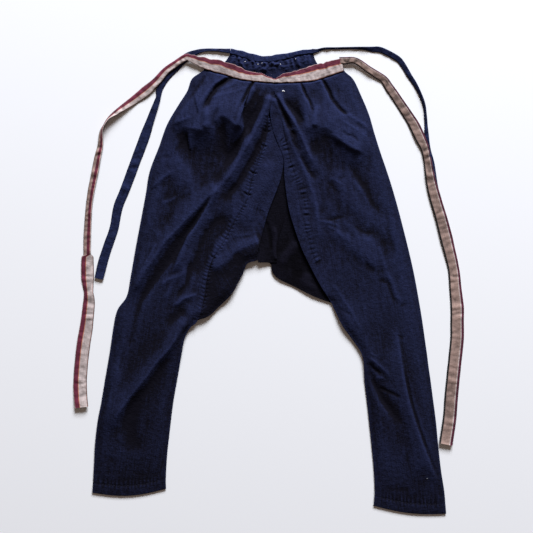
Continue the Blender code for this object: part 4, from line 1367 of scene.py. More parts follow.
def gusset_tuck():
    """The inner tuck that shows in the wedge between the two halves."""
    left = curve([(row.left_x, row.left_y) for row in TUCK])
    right = curve([(row.right_x, row.right_y) for row in TUCK])
    rows = rows_of(left, GUSSET_CELL)
    plan = patch(spread(left, rows), spread(right, rows), TUCK_COLUMNS)
    points = plan.reshape(-1, 2)
    folds = all_folds(points, TUCK_FOLDS) * ease(edge_distance(points), 0, FOLD_EDGE_RUN)
    upper, lower = wall(plan, TUCK_REST + lift(points) + folds + CLOTH, SHELL_CLOTH)
    # The tuck's darker finish and its darkening are painted shade
    wear = wear_and_shade_of(upper, TUCK_PAINTED_SHADE)
    thing = cloth_shell("gusset_tuck_cloth", upper, lower, grain(plan, TUCK_GRAIN), [UNWORN_AND_SHADED], wear=wear)
    return dress(thing, "gusset_tuck", cut_of(plan))


gusset_left()
gusset_strip()
gusset_tuck()

# %% [markdown]
# The back cloth lies on the floor under the fronts. It shows behind the front belt, where it is drawn
# in by the back band, and at the side slits, so its gathers matter most: a cosine along the band, made
# uneven by noise, with a few listed ridges. It is lifted at the crotch together with the front.
# The back band is drawn as a tie is, by its middle line. A row of a tie has its place and the width
# that is seen, and then, where they are not 0, how far it stands on its edge, how high its base is, how
# much of it is turned over, and the share of its width that is cream.

# %% Height of the back
Tie = namedtuple("Tie", "x y seen stands base turned cream", defaults=(0, 0, 0, 0.6))
BACK_BAND = [
    Tie(-77, 457.4, 9.2, 0, 1.5),
    Tie(-54.3, 451.6, 12.4, 0, 1.5),
    Tie(-24.5, 442.8, 14, 0, 1.5),
    Tie(-2.5, 441.4, 13, 0, 1.5),
    Tie(18.5, 444.4, 11.6, 0, 1.5),
    Tie(44.5, 449.2, 11.2, 0, 1.5),
    Tie(62.5, 454.2, 10, 0, 1.5),
    Tie(87.5, 456.8, 10.4, 0, 1.5),
]
GATHER_PITCH = 13.0 * MM
GATHER_HEIGHT = 2.2 * MM
GATHER_START = 5.0 * MM
GATHER_FULL = 8.0 * MM
GATHER_FADE = 18.0 * MM
GATHER_GONE = 30.0 * MM
GATHER_MARGIN = 12.0 * MM
GATHER_CRUMPLE = 3.4 * MM
GATHER_CRUMPLE_SIZE = (9.0 * MM, 5.5 * MM)
GATHER_DRIFT_RUN = 24 * MM
BACK_FOLDS = [
    Fold("gather ridge 1", 2.2, 4, 4, 1, 4, 6, [(-62, 444), (-54, 432), (-50, 420)]),
    Fold("gather ridge 2", 2.4, 5, 4, 1, 4, 5, [(-34, 440), (-28, 430), (-30, 416)]),
    Fold("gather ridge 3", 2.8, 4, 5, 1, 3, 5, [(-12, 436), (-4, 428), (-8, 414)]),
    Fold("gather ridge 4", 2.8, 5, 4, 1, 3, 4, [(4, 436), (12, 430), (22, 432)]),
    Fold("gather ridge 5", 2.2, 4, 4, 1, 4, 5, [(34, 440), (38, 428), (34, 416)]),
    Fold("gather ridge 6", 2, 4, 5, 1, 4, 6, [(62, 446), (60, 434), (64, 424)]),
    Fold("seat crease left", 1.2, 9, 12, 1, 20, 30, [(-60, 360), (-84, 300), (-96, 240)]),
    Fold("seat crease right", 1.2, 12, 9, 1, 20, 30, [(64, 350), (96, 290), (116, 230)]),
    Fold("knee crease, back left", 1.2, 8, 10, 1, 16, 20, [(-190, 10), (-214, -18), (-250, -34)]),
    Fold("knee crease, back right", 1.2, 10, 8, 1, 16, 20, [(178, 0), (204, -24), (244, -44)]),
    Fold("calf crease, back left", 1, 9, 12, 1, 24, 30, [(-216, -130), (-246, -184), (-276, -236)]),
    Fold("calf crease, back right", 1, 12, 9, 1, 24, 30, [(214, -176), (236, -226), (262, -282)]),
]


def back_height(points):
    """Underside of the back cloth: on the floor, drawn into gathers below its band and lifted at the
    crotch.
    """
    band = curve([(row.x, row.y) for row in BACK_BAND])
    distance, side, run = nearest(points, band)
    below = np.where(side < 0, distance, 0)
    beat = wobble(run, GATHER_DRIFT_RUN, 6.0)
    wave = (0.5 - 0.5 * np.cos(2 * np.pi * (run / GATHER_PITCH + 0.4 * beat))) * (1 + 0.5 * beat)
    fade = ease(below, GATHER_START, GATHER_FULL) * (1 - ease(below, GATHER_FADE, GATHER_GONE))
    length = lengths_along(band)[-1]
    margin = ease(run, 0, GATHER_MARGIN) * ease(length - run, 0, GATHER_MARGIN)
    rough = np.abs(noise_field(points, *GATHER_CRUMPLE_SIZE, 5.2))
    gathers = (GATHER_HEIGHT * wave + GATHER_CRUMPLE * rough) * fade * margin
    return gathers + all_folds(points, BACK_FOLDS) + lift(points)


print(len(BACK_FOLDS), "folds of the back")

# %% [markdown]
# A back panel has the leg's own sections, with the slit's in place of the first few, and lies a
# millimetre inside the front along the open edges, as a pressed seam does. The two panels and the back
# gusset share their seams. The gathers get painted light: they are made a little paler, as light falls
# on their ridges, which stick out.

# %% Back panels
BACK_CELL = 3.0 * MM
BACK_COLUMNS = 74
BACK_GUSSET_COLUMNS = 70
BACK_INSET = 1.0 * MM
# Painted light: the gathers below the back band are made paler
GATHER_PAINTED_LIGHT = 0.16
GATHER_LOW = 400.0 * MM
GATHER_HIGH = 415.0 * MM


def back_cloth(name, plan, low, turn, material, dye_and_painted_light=0.0):
    """One piece of the back, whose underside lies at the heights low."""
    low = low.reshape(plan.shape[:2])
    upper = np.dstack([plan, low + CLOTH])
    lower = np.dstack([plan, low])
    wear = wear_and_shade_of(upper, dye_and_painted_light)
    thing = cloth_shell(name + "_cloth", upper, lower, grain(plan, turn), [material], wear=wear)
    return dress(thing, name, cut_of(plan))


def back_panel(name, sections, slit, bow, turn):
    """One back leg panel. Gives back its seam with the back gusset."""
    full = slit + sections[GUSSET_START:]
    side = smooth_table(side_column(full), SPLINE_STEPS)
    inner = smooth_table(inner_column(full), SPLINE_STEPS)
    start = BACK_GUSSET_START * SPLINE_STEPS
    end = (GUSSET_END - GUSSET_START + len(slit)) * SPLINE_STEPS
    seam = inner[start:end + 1]
    above = np.arange(len(inner)) < end
    drawn = np.where(above, SEAM_GAP / 2, BACK_INSET)[:, None]
    side, _ = inset_columns(side, inner, BACK_INSET, 0)
    _, inner = inset_columns(side, inner, 0, drawn)
    rows = rows_of(side, BACK_CELL)
    hem = hem_edge(sections, bow) + [0, BACK_INSET]
    waist = spread(curve([(row.x, row.y) for row in BACK_BAND]), 2 * BACK_COLUMNS)
    waist = waist[:BACK_COLUMNS] if name == "back_left" else waist[:BACK_COLUMNS - 1:-1]
    plan = patch(follow(side, rows), follow(inner, rows), BACK_COLUMNS, waist, hem)
    # Painted light on the gathered top of the back
    gathers_painted_light = GATHER_PAINTED_LIGHT * ease(plan[..., 1], GATHER_LOW, GATHER_HIGH)
    back_cloth(name, plan, back_height(plan.reshape(-1, 2)), turn, INDIGO, -gathers_painted_light)
    return seam


def back_gusset(left, right):
    """The back gusset between its two seams, down to the crotch edge."""
    rows = rows_of(left, BACK_CELL)
    plan = gusset_plan(left, right, rows, BACK_GUSSET_COLUMNS, curve(CROTCH_LEFT + CROTCH_RIGHT))
    points = plan.reshape(-1, 2)
    folds = all_folds(points, BACK_GUSSET_FOLDS, 2) * ease(edge_distance(points), 0, FOLD_EDGE_RUN)
    # The back gusset's darker finish and its darkening are painted shade
    return back_cloth("gusset_back", plan, np.maximum(lift(points) + folds, 0), 0.0, UNWORN_AND_SHADED, TUCK_PAINTED_SHADE)


left_seam = back_panel("back_left", LEFT_SECTIONS, LEFT_SLIT, LEFT_BOW, LEFT_GRAIN)
right_seam = back_panel("back_right", RIGHT_SECTIONS, RIGHT_SLIT, RIGHT_BOW, RIGHT_GRAIN)
back_gusset(left_seam, right_seam)

# %% [markdown]
# The front belt and its ties are one narrow striped cloth: a maroon stripe, a thin orange line and a
# cream stripe, with a taupe reverse. The stripe is painted by an attribute that runs from the cream
# edge to the maroon edge, so it follows every bend of the belt. The back ties are plain navy cotton,
# which is the indigo finish in a bluer pair of colours.

# %% Striped and navy cotton
CREAM = (0.50, 0.42, 0.415)
MAROON = (0.128, 0.019, 0.041)
DARK_MAROON = (0.080, 0.013, 0.030)
ORANGE = (0.50, 0.20, 0.12)
TAUPE = (0.315, 0.217, 0.19)
DARK_EDGE = (0.012, 0.013, 0.015)
CREAM_END = 0.48
STRIPES_END = 0.80


def striped_cotton(name, stops, base):
    """Striped cotton with slubs, stains, faded places, and painted shade in its creases from its
    attribute.
    """
    cloth = Finish(name, base, 0.85, 0.2, 0.1)
    stripe = cloth.ramp(cloth.attribute("stripe"), stops)
    slub = cloth.noise(cloth.weave_coordinates((900, 60, 1)), 1.0, 3.0, 0.6)
    stain = cloth.noise(cloth.object_coordinates(), 60.0, 4.0, 0.65)
    faded = cloth.noise(cloth.object_coordinates(), 11.0, 2.0, 0.5)
    crumple_noise = cloth.noise(cloth.object_coordinates(), 70.0, 3.0, 0.5)
    wear_stain_and_shade = cloth.total(
        cloth.spread_to(slub, -0.22, 0.20),
        cloth.spread_to(stain, 0.66, 1.18),
        cloth.spread_to(faded, -0.16, 0.16),
        # The attribute holds painted shade in the creases and the tone along the tie
        cloth.attribute("wear"),
    )
    colour = cloth.blend(1.0, stripe, wear_stain_and_shade, "MULTIPLY")
    normal = cloth.bump(cloth.waves(cloth.weave_coordinates((1, 1, 1)), "X"), 0.08 * MM, 0.6)
    normal = cloth.bump(crumple_noise, 3.0 * MM, 0.7, normal)
    return cloth.finish(colour, normal)


STRIPE_STOPS = [
    (0.0, (0.05, 0.03, 0.035)), (0.03, (0.28, 0.12, 0.09)), (0.06, CREAM), (0.455, CREAM), (0.47, ORANGE),
    (0.495, ORANGE), (0.51, MAROON), (0.765, MAROON), (0.775, (0.45, 0.3, 0.3)), (0.80, (0.45, 0.3, 0.3)),
    (0.82, TAUPE), (1.0, TAUPE),
]
REVERSE_STOPS = [
    (0.0, DARK_EDGE), (0.085, DARK_EDGE), (0.105, TAUPE), (0.585, TAUPE), (0.60, CREAM), (0.640, CREAM),
    (0.660, DARK_MAROON), (1.0, DARK_MAROON),
]
STRIPED = striped_cotton("striped_cotton", STRIPE_STOPS, CREAM)
REVERSE = striped_cotton("striped_cotton_reverse", REVERSE_STOPS, TAUPE)
NAVY = indigo_cotton("navy_cotton", (0.0045, 0.0050, 0.013), (0.020, 0.028, 0.086))
print("made", STRIPED.name, REVERSE.name, NAVY.name)

# %% [markdown]
# The belt is one shell along its table, from the low edge to the top edge. Its edges waver a little and
# it stands in ripples, because a narrow band that was tied and untied for years never lies flat. Its
# two ends come down beside the fronts, to meet the ties.

# %% Front belt
STRIPED_WIDTH = 27.0 * MM
BAND_REST = FRONT_REST + FRONT_CLOTH + LAYER_GAP
BELT_TIP_REST = 4.5 * MM
BAND_END_X = -125.0 * MM
BAND_TIP_X = -160.0 * MM
BELT_CELL = 1.2 * MM
BELT_COLUMNS = 22
BELT_WOBBLE = 1.1 * MM
BELT_CROWN = 0.5 * MM
BELT_RIPPLE = 1.0 * MM
CREAM_WOBBLE = 0.03


def stripe_at(share, cream, turned=0.0):
    """The stripe attribute across a band, from the cream edge to the maroon edge.

    cream is the share of the width that is cream, turned the share where the edge is folded over so that
    the reverse shows.
    """
    share = share / (1 - turned)
    low = share / cream * CREAM_END
    high = CREAM_END + (share - cream) / (1 - cream) * (STRIPES_END - CREAM_END)
    return np.where(share > 1, 1, np.where(share < cream, low, high))


def belt_top(plan, share):
    """Height of the belt's outside: its rest, a low crown across it and ripples of two sizes."""
    points = plan.reshape(-1, 2)
    rest = BELT_TIP_REST + (BAND_REST - BELT_TIP_REST) * ease(points[:, 0], BAND_TIP_X, BAND_END_X)
    crown = BELT_CROWN * np.sin(np.pi * share) ** 0.5
    broad = noise_field(points, 13 * MM, 26 * MM, 3.3)
    fine = noise_field(points, 4 * MM, 9 * MM, 6.1)
    crown = crown.reshape(-1) + BELT_RIPPLE * (1.6 * np.abs(broad) + 0.6 + 0.6 * fine)
    return rest + CLOTH + crown


def front_belt():
    """The middle of the front belt, with its stripe given row by row."""
    top = curve([(row.top_x, row.top_y) for row in FRONT_BAND])
    rows = rows_of(top, BELT_CELL)
    low, top = follow(BAND_LOWER_EDGE, rows), follow(top, rows)
    run = lengths_along(low)
    top[:, 1] += BELT_WOBBLE * wobble(run, 9 * MM, 2.0)
    low[:, 1] += BELT_WOBBLE / 2 * wobble(run, 11 * MM, 5.0)
    plan = patch(low, top, BELT_COLUMNS)
    share = np.linspace(0, 1, BELT_COLUMNS)[None, :].repeat(rows, axis=0)
    marks = np.linspace(0, len(FRONT_BAND) - 1, rows)
    cream = np.interp(marks, np.arange(len(FRONT_BAND)), [row.cream for row in FRONT_BAND])
    cream = (cream + CREAM_WOBBLE * wobble(run, 14 * MM, 8.0))[:, None]
    upper, lower = wall(plan, belt_top(plan, share), SHELL_CLOTH)
    uv = np.dstack([share * STRIPED_WIDTH, run[:, None].repeat(BELT_COLUMNS, axis=1)])
    stripe = stripe_at(share, cream)
    thing = cloth_shell("waistband_front_cloth", upper, lower, uv, [STRIPED, REVERSE], stripe=stripe)
    return dress(thing, "waistband_front", cut_of(plan))


front_belt()

# %% [markdown]
# A tie is drawn by its middle line, from the belt to its free end. Where it looks narrow it isn't cut
# narrow: it stands partly on its edge, or its edge is turned over. The tables give the seen width, and
# the rest of the tie's true width goes into standing up.

# %% Courses of the ties
TIE_FRONT_LEFT = [
    Tie(-160, 444.3, 13.6, 0, 4.5, 0, 0.56),
    Tie(-167, 443.6, 13.4, 0, 5.0, 0, 0.52),
    Tie(-184.5, 432.6, 12.6, 0, 5.0, 0, 0.52),
    Tie(-205.5, 417.4, 14, 0, 4.2, 0, 0.52),
    Tie(-225.5, 395.2, 17, 0, 3.0, 0, 0.5),
    Tie(-246.5, 376.6, 20.5, 0, 1.8, 0, 0.5),
    Tie(-265.9, 362, 18, 0, 0.4, 0, 0.5),
    Tie(-288, 346.4, 14.4, 0.2, 0, 0, 0.5),
    Tie(-307, 332.6, 10.5, 0.35, 0, 0, 0.5),
    Tie(-319.5, 322.8, 6, 0.45, 0, 0.2, 0.3),
    Tie(-328.5, 309, 4.5, 0.5, 0, 0.2, 0.3),
    Tie(-334.5, 294, 8, 0.35, 0, 0.4, 0.14),
    Tie(-336, 270, 11.5, 0.2, 0, 0.4, 0.14),
    Tie(-341.1, 248, 13.4, 0.15, 0, 0.4, 0.14),
    Tie(-346.3, 220, 14.8, 0.15, 0, 0.4, 0.14),
    Tie(-357.5, 160, 13.6, 0.15, 0, 0.4, 0.14),
    Tie(-362, 98, 14.4, 0.1, 0, 0.4, 0.14),
    Tie(-362.8, 58, 14.8, 0.1, 0, 0.4, 0.14),
    Tie(-362.4, 50, 14.6, 0, 0, 0.36, 0.2),
    Tie(-362.4, 46, 23.4),
    Tie(-362.5, 26, 25.4, 0, 0, 0, 0.62),
    Tie(-362, 2, 25, 0, 0, 0, 0.62),
    Tie(-360, -24, 18.5, 0.15, 0, 0, 0.62),
    Tie(-359.5, -46, 23.5, 0, 0, 0, 0.62),
    Tie(-364.5, -92, 26, 0, 0, 0, 0.62),
    Tie(-369.8, -124, 26.4, 0, 0, 0, 0.62),
    Tie(-374.3, -162, 27, 0, 0, 0, 0.62),
    Tie(-377.1, -201, 27, 0, 0, 0, 0.62),
    Tie(-376.3, -230, 26.8, 0, 1.2, 0, 0.62),
    Tie(-373.4, -254, 26.4, 0, 4.5, 0, 0.62),
]
TIE_FRONT_RIGHT = [
    Tie(141, 437.8, 14, 0, 2.6),
    Tie(150, 437.8, 14, 0, 3.4),
    Tie(173.5, 437.6, 12.6, 0, 3.6),
    Tie(198.5, 421, 13.6, 0, 2.6),
    Tie(216.5, 409.6, 15.5, 0, 1.4),
    Tie(230.9, 400, 15, 0, 0.5),
    Tie(240, 386, 17, 0.04),
    Tie(252.5, 368, 18.4, 0.04),
    Tie(278.9, 328.4, 20, 0.04),
    Tie(290.9, 309, 21, 0, 0.8),
    Tie(302.5, 284, 20.8, 0, 1.5),
    Tie(312, 263.4, 17, 0, 1.5),
    Tie(317.3, 238.6, 16, 0, 1.5),
    Tie(323.9, 198, 21, 0, 1.5),
    Tie(333.1, 162, 24, 0, 1.5),
    Tie(343.9, 126, 24.2, 0, 1.5),
    Tie(352.5, 93, 24.4, 0, 1.5),
    Tie(359.9, 63, 23.4, 0, 1.5),
    Tie(369.5, 22, 22.4, 0, 0.4),
    Tie(373.3, -18.4, 24.6),
    Tie(376.7, -54, 26.8),
    Tie(376.7, -84, 27),
    Tie(376.5, -118, 26.8),
    Tie(372.7, -156, 27),
    Tie(368.3, -198, 27),
    Tie(364.5, -238, 27),
    Tie(361.9, -274, 27),
    Tie(355.5, -316, 27, 0, 2.0),
    Tie(353.3, -328, 27, 0, 4.5),
]
TIE_BACK_LEFT = [
    Tie(-77.1, 457.5, 9.2, 0, 1.5),
    Tie(-86, 458, 8, 0.12, 0.6),
    Tie(-103.5, 459.4, 6, 0.12),
    Tie(-127.5, 459.4, 6, 0.12),
    Tie(-145.5, 455, 10),
    Tie(-163.5, 446, 16),
    Tie(-185.5, 427, 18),
    Tie(-205.5, 407, 18),
    Tie(-217.5, 385, 15),
    Tie(-220.5, 366, 10, 0.12),
    Tie(-223.5, 356, 12, 0.12),
    Tie(-236.3, 320, 16, 0.1),
    Tie(-249.9, 281, 19.6),
    Tie(-264.5, 242, 20),
    Tie(-275.9, 211, 20),
    Tie(-288.3, 178, 20),
    Tie(-301.1, 146, 19),
    Tie(-309.1, 104, 19),
    Tie(-320.3, 71, 18.5),
    Tie(-330.6, 39, 18),
    Tie(-339.3, 2.4, 17.4, 0, 2.0),
]
TIE_BACK_RIGHT = [
    Tie(87.6, 456.8, 9.6, 0, 1.5),
    Tie(97, 458.2, 6, 0.12, 0.25),
    Tie(111.7, 462.4, 4, 0.12),
    Tie(136.5, 463, 3.6, 0.12),
    Tie(162.5, 463.6, 3.6, 0.12),
    Tie(188.5, 463, 6, 0.12),
    Tie(206.5, 461, 10.6, 0.12),
    Tie(218.5, 460.8, 11, 0.12),
    Tie(231.7, 456.6, 11, 0.12),
    Tie(256.5, 443, 11.4, 0.12),
    Tie(267.5, 431, 11, 0.12),
    Tie(282.5, 406, 9.4, 0.12),
    Tie(291.7, 392, 8, 0.2),
    Tie(301.9, 372.4, 5.2, 0.25),
    Tie(309.5, 352, 4.8, 0.25),
    Tie(312.5, 334, 4, 0.25),
    Tie(314.7, 306, 7),
    Tie(316.5, 264, 14),
    Tie(323.5, 234, 16),
    Tie(327.5, 200, 18),
    Tie(334, 168, 18),
    Tie(343, 132, 18),
    Tie(351.5, 96, 18),
    Tie(358, 64, 18),
]
print("tie places", len(TIE_FRONT_LEFT), len(TIE_FRONT_RIGHT), len(TIE_BACK_LEFT), len(TIE_BACK_RIGHT))

# %% [markdown]
# A tie that has been knotted many times keeps sharp low creases across it, uneven in spacing. They are
# the noise's own zero lines, where its absolute value makes a V. Their hollows get painted shade and
# their crests are paler. A tie's seen width, its base and its tilt come from the table, and its tone is a
# short table of its own: the run along the tie in millimetres and how much paler, or darker where
# negative, the cloth is there.

# %% Shape of a tie
NAVY_WIDTH = 20.0 * MM
TIE_CELL = 2.0 * MM
TIE_COLUMNS = 14
TIE_LEAST_SEEN = 2 * MM
# A tie that stands on its edge still counts for at least this share of its width
TIE_LEAST_FILL = 0.31
# Painted shade in the hollows of a tie's creases, and paler crests
TIE_WEAR_AND_SHADE = Relief(3, 2 * MM, -0.3, 0.3)


def creases(run, share, tall, size):
    """Sharp low creases across a narrow cloth, uneven in spacing and slant, over soft waves."""
    spots = [(place, side) for place in run for side in share]
    sharp = np.array([abs(noise.noise(Vector((place / size, 0.35 * side, 7.7)))) for place, side in spots])
    waves = 0.5 + 0.5 * noise_line(run, 2.2 * size, 2.1, 0.4)
    beat = 0.45 + 2.2 * np.abs(noise_line(run, 3.6 * size, 8.3, 1.9))
    sharp = 2 * sharp.reshape(len(run), len(share)) * beat[:, None]
    return tall * (sharp + waves[:, None]) * (1 - 0.95 * share**6)


def left_of(path):
    """Unit vectors to the left of a path at each of its points."""
    ahead = np.gradient(path, axis=0)
    ahead = ahead / np.linalg.norm(ahead, axis=1)[:, None]
    return np.column_stack([-ahead[:, 1], ahead[:, 0]])


def tie_course(rows):
    """A tie's table as a smooth course in even steps, whose later columns run straight between rows."""
    table = smooth_table(rows, SPLINE_STEPS)
    marks = np.arange(len(table)) / SPLINE_STEPS
    for column in range(2, len(Tie._fields)):
        table[:, column] = np.interp(marks, np.arange(len(rows)), [row[column] for row in rows])
    return spread(table, int(lengths_along(table)[-1] * MM / TIE_CELL) + 2)


def tie_cloth(name, rows, width, materials, cream_left, crease, tone_steps):
    """A flat tie along its middle line, with one edge standing up where it is turned."""
    table = tie_course(rows)
    course = Tie(*table.T)
    middle = table[:, :2] * MM
    length = lengths_along(middle)
    seen = course.seen * MM * (1 + crease.edge * wobble(length, 2 * crease.size * MM, 1.5))
    seen = np.clip(seen, TIE_LEAST_SEEN, width)
    hidden = np.sqrt(width**2 - seen**2)
    rise = np.clip(course.stands, -1, 1) * hidden
    base = np.maximum(course.base, 0) * MM
    left = left_of(middle)
    tilt = np.arctan2(rise, seen)
    centre_height = base + np.abs(rise) / 2 + CLOTH / 2 * np.cos(tilt)
    share = np.linspace(-1, 1, TIE_COLUMNS)[None, :, None]
    reach = np.column_stack([left * seen[:, None] / 2, rise / 2])[:, None, :]
    face = (np.column_stack([-left * np.sin(tilt)[:, None], np.cos(tilt)]) * CLOTH / 2)[:, None, :]
    centre = np.column_stack([middle, centre_height])[:, None, :]
    across = centre - share * reach
    across[..., 2] += creases(length, share[0, :, 0], crease.tall * MM, crease.size * MM)
    stripe = (share[..., 0] + 1) / 2
    stripe = (stripe if cream_left else 1 - stripe).repeat(len(table), axis=0)
    uv = np.dstack([stripe * width, length[:, None].repeat(TIE_COLUMNS, axis=1)])
    tone_along = np.interp(length / MM, [row.run for row in tone_steps], [row.wear for row in tone_steps])
    # Painted shade in the creases and paler crests, with the tone along the tie
    wear = worn_and_shaded(across[..., 2], TIE_WEAR_AND_SHADE) + tone_along[:, None]
    stripe = stripe_at(stripe, course.cream[:, None], course.turned[:, None])
    upper, lower = across + face, across - face
    thing = cloth_shell(name + "_cloth", upper, lower, uv, materials, stripe=stripe, wear=wear)
    area = max(np.hypot(seen, rise).mean(), TIE_LEAST_FILL * width) * length[-1]
    return dress(thing, name, ((width, length[-1]), area))


print("ties have", TIE_COLUMNS, "points across")

# %% [markdown]
# The two striped ties are the belt's own cloth: the left one with its face up, the right one with its
# reverse up. The two navy ties and the back band are the back's. A crease is how tall and how long its
# waves are, and how far it draws the edges in.

# %% Ties
Crease = namedtuple("Crease", "tall size edge")
STRIPED_CREASE = Crease(1.5, 14, 0.03)
NAVY_CREASE = Crease(1.0, 17, 0.05)
BAND_CREASE = Crease(1.1, 6, 0.14)
ToneStep = namedtuple("ToneStep", "run wear")
LEFT_TONE = [ToneStep(0, 0), ToneStep(250, -0.06), ToneStep(420, -0.1), ToneStep(560, -0.04), ToneStep(787, -0.08)]
RIGHT_TONE = [
    ToneStep(0, -0.4),
    ToneStep(90, -0.36),
    ToneStep(200, -0.26),
    ToneStep(362, -0.2),
    ToneStep(470, -0.1),
    ToneStep(566, 0),
    ToneStep(680, -0.06),
    ToneStep(768, -0.12),
]
NAVY_TONE = [ToneStep(0, -0.08), ToneStep(140, -0.2), ToneStep(240, -0.04), ToneStep(574, -0.06)]
BAND_TONE = [ToneStep(0, 0.28)]
STRIPED_SIDES = [STRIPED, REVERSE]
REVERSED_SIDES = [REVERSE, STRIPED]

tie_cloth("tie_front_left", TIE_FRONT_LEFT, STRIPED_WIDTH, STRIPED_SIDES, True,
          STRIPED_CREASE, LEFT_TONE)
tie_cloth("tie_front_right", TIE_FRONT_RIGHT, STRIPED_WIDTH, REVERSED_SIDES, False,
          STRIPED_CREASE, RIGHT_TONE)
tie_cloth("tie_back_left", TIE_BACK_LEFT, NAVY_WIDTH, [NAVY], True,
          NAVY_CREASE, NAVY_TONE)
tie_cloth("tie_back_right", TIE_BACK_RIGHT, NAVY_WIDTH, [NAVY], True,
          NAVY_CREASE, NAVY_TONE)
tie_cloth("waistband_back", BACK_BAND, NAVY_WIDTH, [NAVY], True,
          BAND_CREASE, BAND_TONE)

# %% [markdown]
# Hand sewing leaves small traces: the hems are held by a row of running stitches in a faded indigo
# thread, and the striped cloth has a row of pale ones beside its selvedge. A few thread ends stick to
# the cloth. Thread is twisted, which shows as fine bands of a lighter and a darker tone.

# %% Threads
def thread_finish(name, dark, light):
    """Twisted cotton thread, with fine bands across it."""
    thread = Finish(name, light, 0.8, 0.2, 0.1)
    twist = thread.noise(thread.object_coordinates(), 1400.0, 2.0, 0.6)
    colour = thread.blend(thread.spread_to(twist, 0, 1), dark, light)
    return thread.finish(colour, thread.bump(twist, 0.2 * MM, 0.5))


INDIGO_THREAD = thread_finish("indigo_thread", (0.006, 0.007, 0.016), (0.020, 0.025, 0.062))
CREAM_THREAD = thread_finish("cream_thread", (0.30, 0.22, 0.18), (0.62, 0.55, 0.48))
WHITE_THREAD = thread_finish("white_thread", (0.55, 0.56, 0.60), (0.92, 0.92, 0.92))
GREY_THREAD = thread_finish("grey_thread", (0.10, 0.10, 0.12), (0.28, 0.28, 0.32))
print("made", INDIGO_THREAD.name, CREAM_THREAD.name, WHITE_THREAD.name, GREY_THREAD.name)

# %% [markdown]
# Each stitch is a small ball that is drawn out into a capsule, and it lies on the cloth. Its height is
# found by looking straight down at the finished piece that carries it, so no stitch floats or sinks
# where a fold runs below it. All stitches of a row are one object.

# %% Running stitches
STITCH_LENGTH = 3.0 * MM
STITCH_RADIUS = 0.3 * MM
STITCH_SINK = 0.1 * MM
HEM_STITCH_PITCH = 5.5 * MM
TIE_STITCH_PITCH = 7.0 * MM
TIE_STITCH_SHARE = 0.27
HEM_LINE_POINTS = 40
LOOK_DOWN_FROM = 0.1


def look_down(thing):
    """A way to find the height of a finished piece under any place."""
    tree = bvhtree.BVHTree.FromObject(thing, bpy.context.evaluated_depsgraph_get())

    def height(place):
        hit = tree.ray_cast(Vector((place[0], place[1], LOOK_DOWN_FROM)), Vector((0, 0, -1)))
        return None if hit[0] is None else hit[0].z

    return height


def loose_piece(name, shape, material):
    """Turns loose mesh parts into one object that rides with the garment."""
    bmesh.ops.recalc_face_normals(shape, faces=shape.faces[:])
    mesh = bpy.data.meshes.new(name)
    shape.to_mesh(mesh)
    shape.free()
    mesh.materials.append(material)
    mesh.shade_smooth()
    thing = put_in_scene(name, mesh)
    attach(thing, "root")
    print(name, len(mesh.polygons), "faces")
    return thing


def running_stitch(name, path, cloth, pitch, material):
    """A row of small capsules along a line, one for each stitch that shows."""
    height = look_down(cloth)
    along = lengths_along(path)
    shape = bmesh.new()
    half = STITCH_LENGTH / 2
    for place in np.arange(pitch / 2, along[-1], pitch):
        ends = resample(path, [max(place - half, 0), min(place + half, along[-1])])
        levels = [height(end) for end in ends]
        if None in levels:
            continue
        start, end = (Vector((*spot, level - STITCH_SINK)) for spot, level in zip(ends, levels))
        ball = bmesh.ops.create_uvsphere(shape, u_segments=6, v_segments=6, radius=STITCH_RADIUS)
        turn = (end - start).to_track_quat("Z", "Y")
        for vert in ball["verts"]:
            vert.co = turn @ vert.co + (end if vert.co.z > 0 else start)
    return loose_piece(name, shape, material)


def hem_line(sections, bow):
    """The stitched line of a hem, a hem's depth above the edge."""
    line = hem_edge(sections, bow)[1:-1]
    return spread(line + [0, HEM_DEPTH], HEM_LINE_POINTS)


def beside(rows, share):
    """A line along a tie, at a share of its seen width to the left of its middle."""
    table = smooth_table(rows, SPLINE_STEPS)[:, :3] * MM
    return table[:, :2] + left_of(table[:, :2]) * table[:, 2:] * share


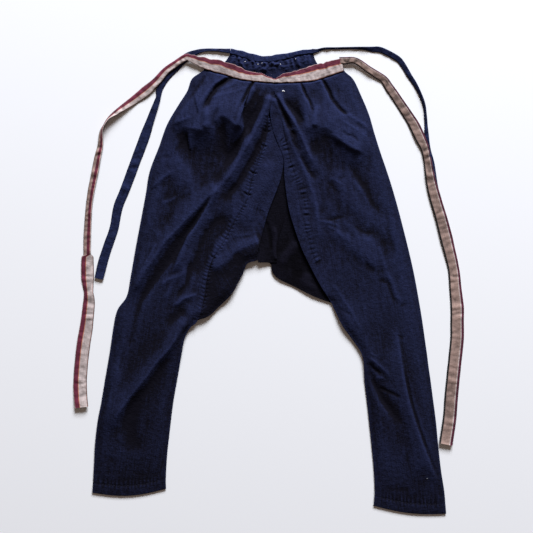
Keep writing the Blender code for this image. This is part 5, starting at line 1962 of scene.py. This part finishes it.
for name, sections, bow in (("left", LEFT_SECTIONS, LEFT_BOW), ("right", RIGHT_SECTIONS, RIGHT_BOW)):
    running_stitch("hem_stitches_" + name, hem_line(sections, bow), finished["front_" + name],
                   HEM_STITCH_PITCH, INDIGO_THREAD)
selvedge = beside(TIE_FRONT_RIGHT, TIE_STITCH_SHARE)
running_stitch("tie_stitches_right", selvedge, finished["tie_front_right"],
               TIE_STITCH_PITCH, CREAM_THREAD)

# %% [markdown]
# The thread ends are tiny tufts. A round ball would look like a pearl, so each one is a ball with a
# rough surface, pressed flat and turned as its row in the table says.

# %% Thread ends
TUFT_ROUGHNESS = 0.5
TUFT_FLATNESS = 0.5
TUFT_RISE = 0.2 * MM
Speck = namedtuple("Speck", "x y wide long turn")
FRONT_SPECKS = [Speck(28, 377, 3.6, 2.4, 40), Speck(30.6, 376.6, 3.4, 2.2, 130)]
BACK_SPECKS = [
    Speck(-47.5, 436, 2.4, 1.5, 20),
    Speck(-21.5, 430.6, 2.2, 1.3, 70),
    Speck(-13.5, 433, 2.4, 1.5, 10),
    Speck(23.1, 431.2, 2.2, 1.4, 50),
    Speck(53.5, 441.4, 2, 1.2, 0),
]
LEG_SPECKS = [Speck(316, -396, 2.2, 1.6, 30)]


def thread_ends(name, specks, cloths, material):
    """Small curled tufts of thread, flat on the cloth below them."""
    heights = [look_down(cloth) for cloth in cloths]
    shape = bmesh.new()
    for speck in specks:
        place = (speck.x * MM, speck.y * MM)
        level = max(height(place) or 0 for height in heights)
        ball = bmesh.ops.create_icosphere(shape, subdivisions=2, radius=0.5)
        spin = math.radians(speck.turn)
        for vert in ball["verts"]:
            rough = 1 + TUFT_ROUGHNESS * noise.noise(vert.co * 5 + Vector((speck.x, speck.y, 0)))
            x, y, z = vert.co * rough
            x, y, z = x * speck.wide * MM, y * speck.long * MM, z * speck.long * TUFT_FLATNESS * MM
            across = x * math.cos(spin) - y * math.sin(spin)
            up = x * math.sin(spin) + y * math.cos(spin)
            vert.co = (place[0] + across, place[1] + up, level + z + TUFT_RISE)
    return loose_piece(name, shape, material)


thread_ends("thread_ends_front", FRONT_SPECKS, [finished["front_right"]], WHITE_THREAD)
thread_ends("thread_ends_back", BACK_SPECKS, [finished["back_left"], finished["back_right"]], WHITE_THREAD)
thread_ends("thread_end_leg", LEG_SPECKS, [finished["front_right"]], GREY_THREAD)
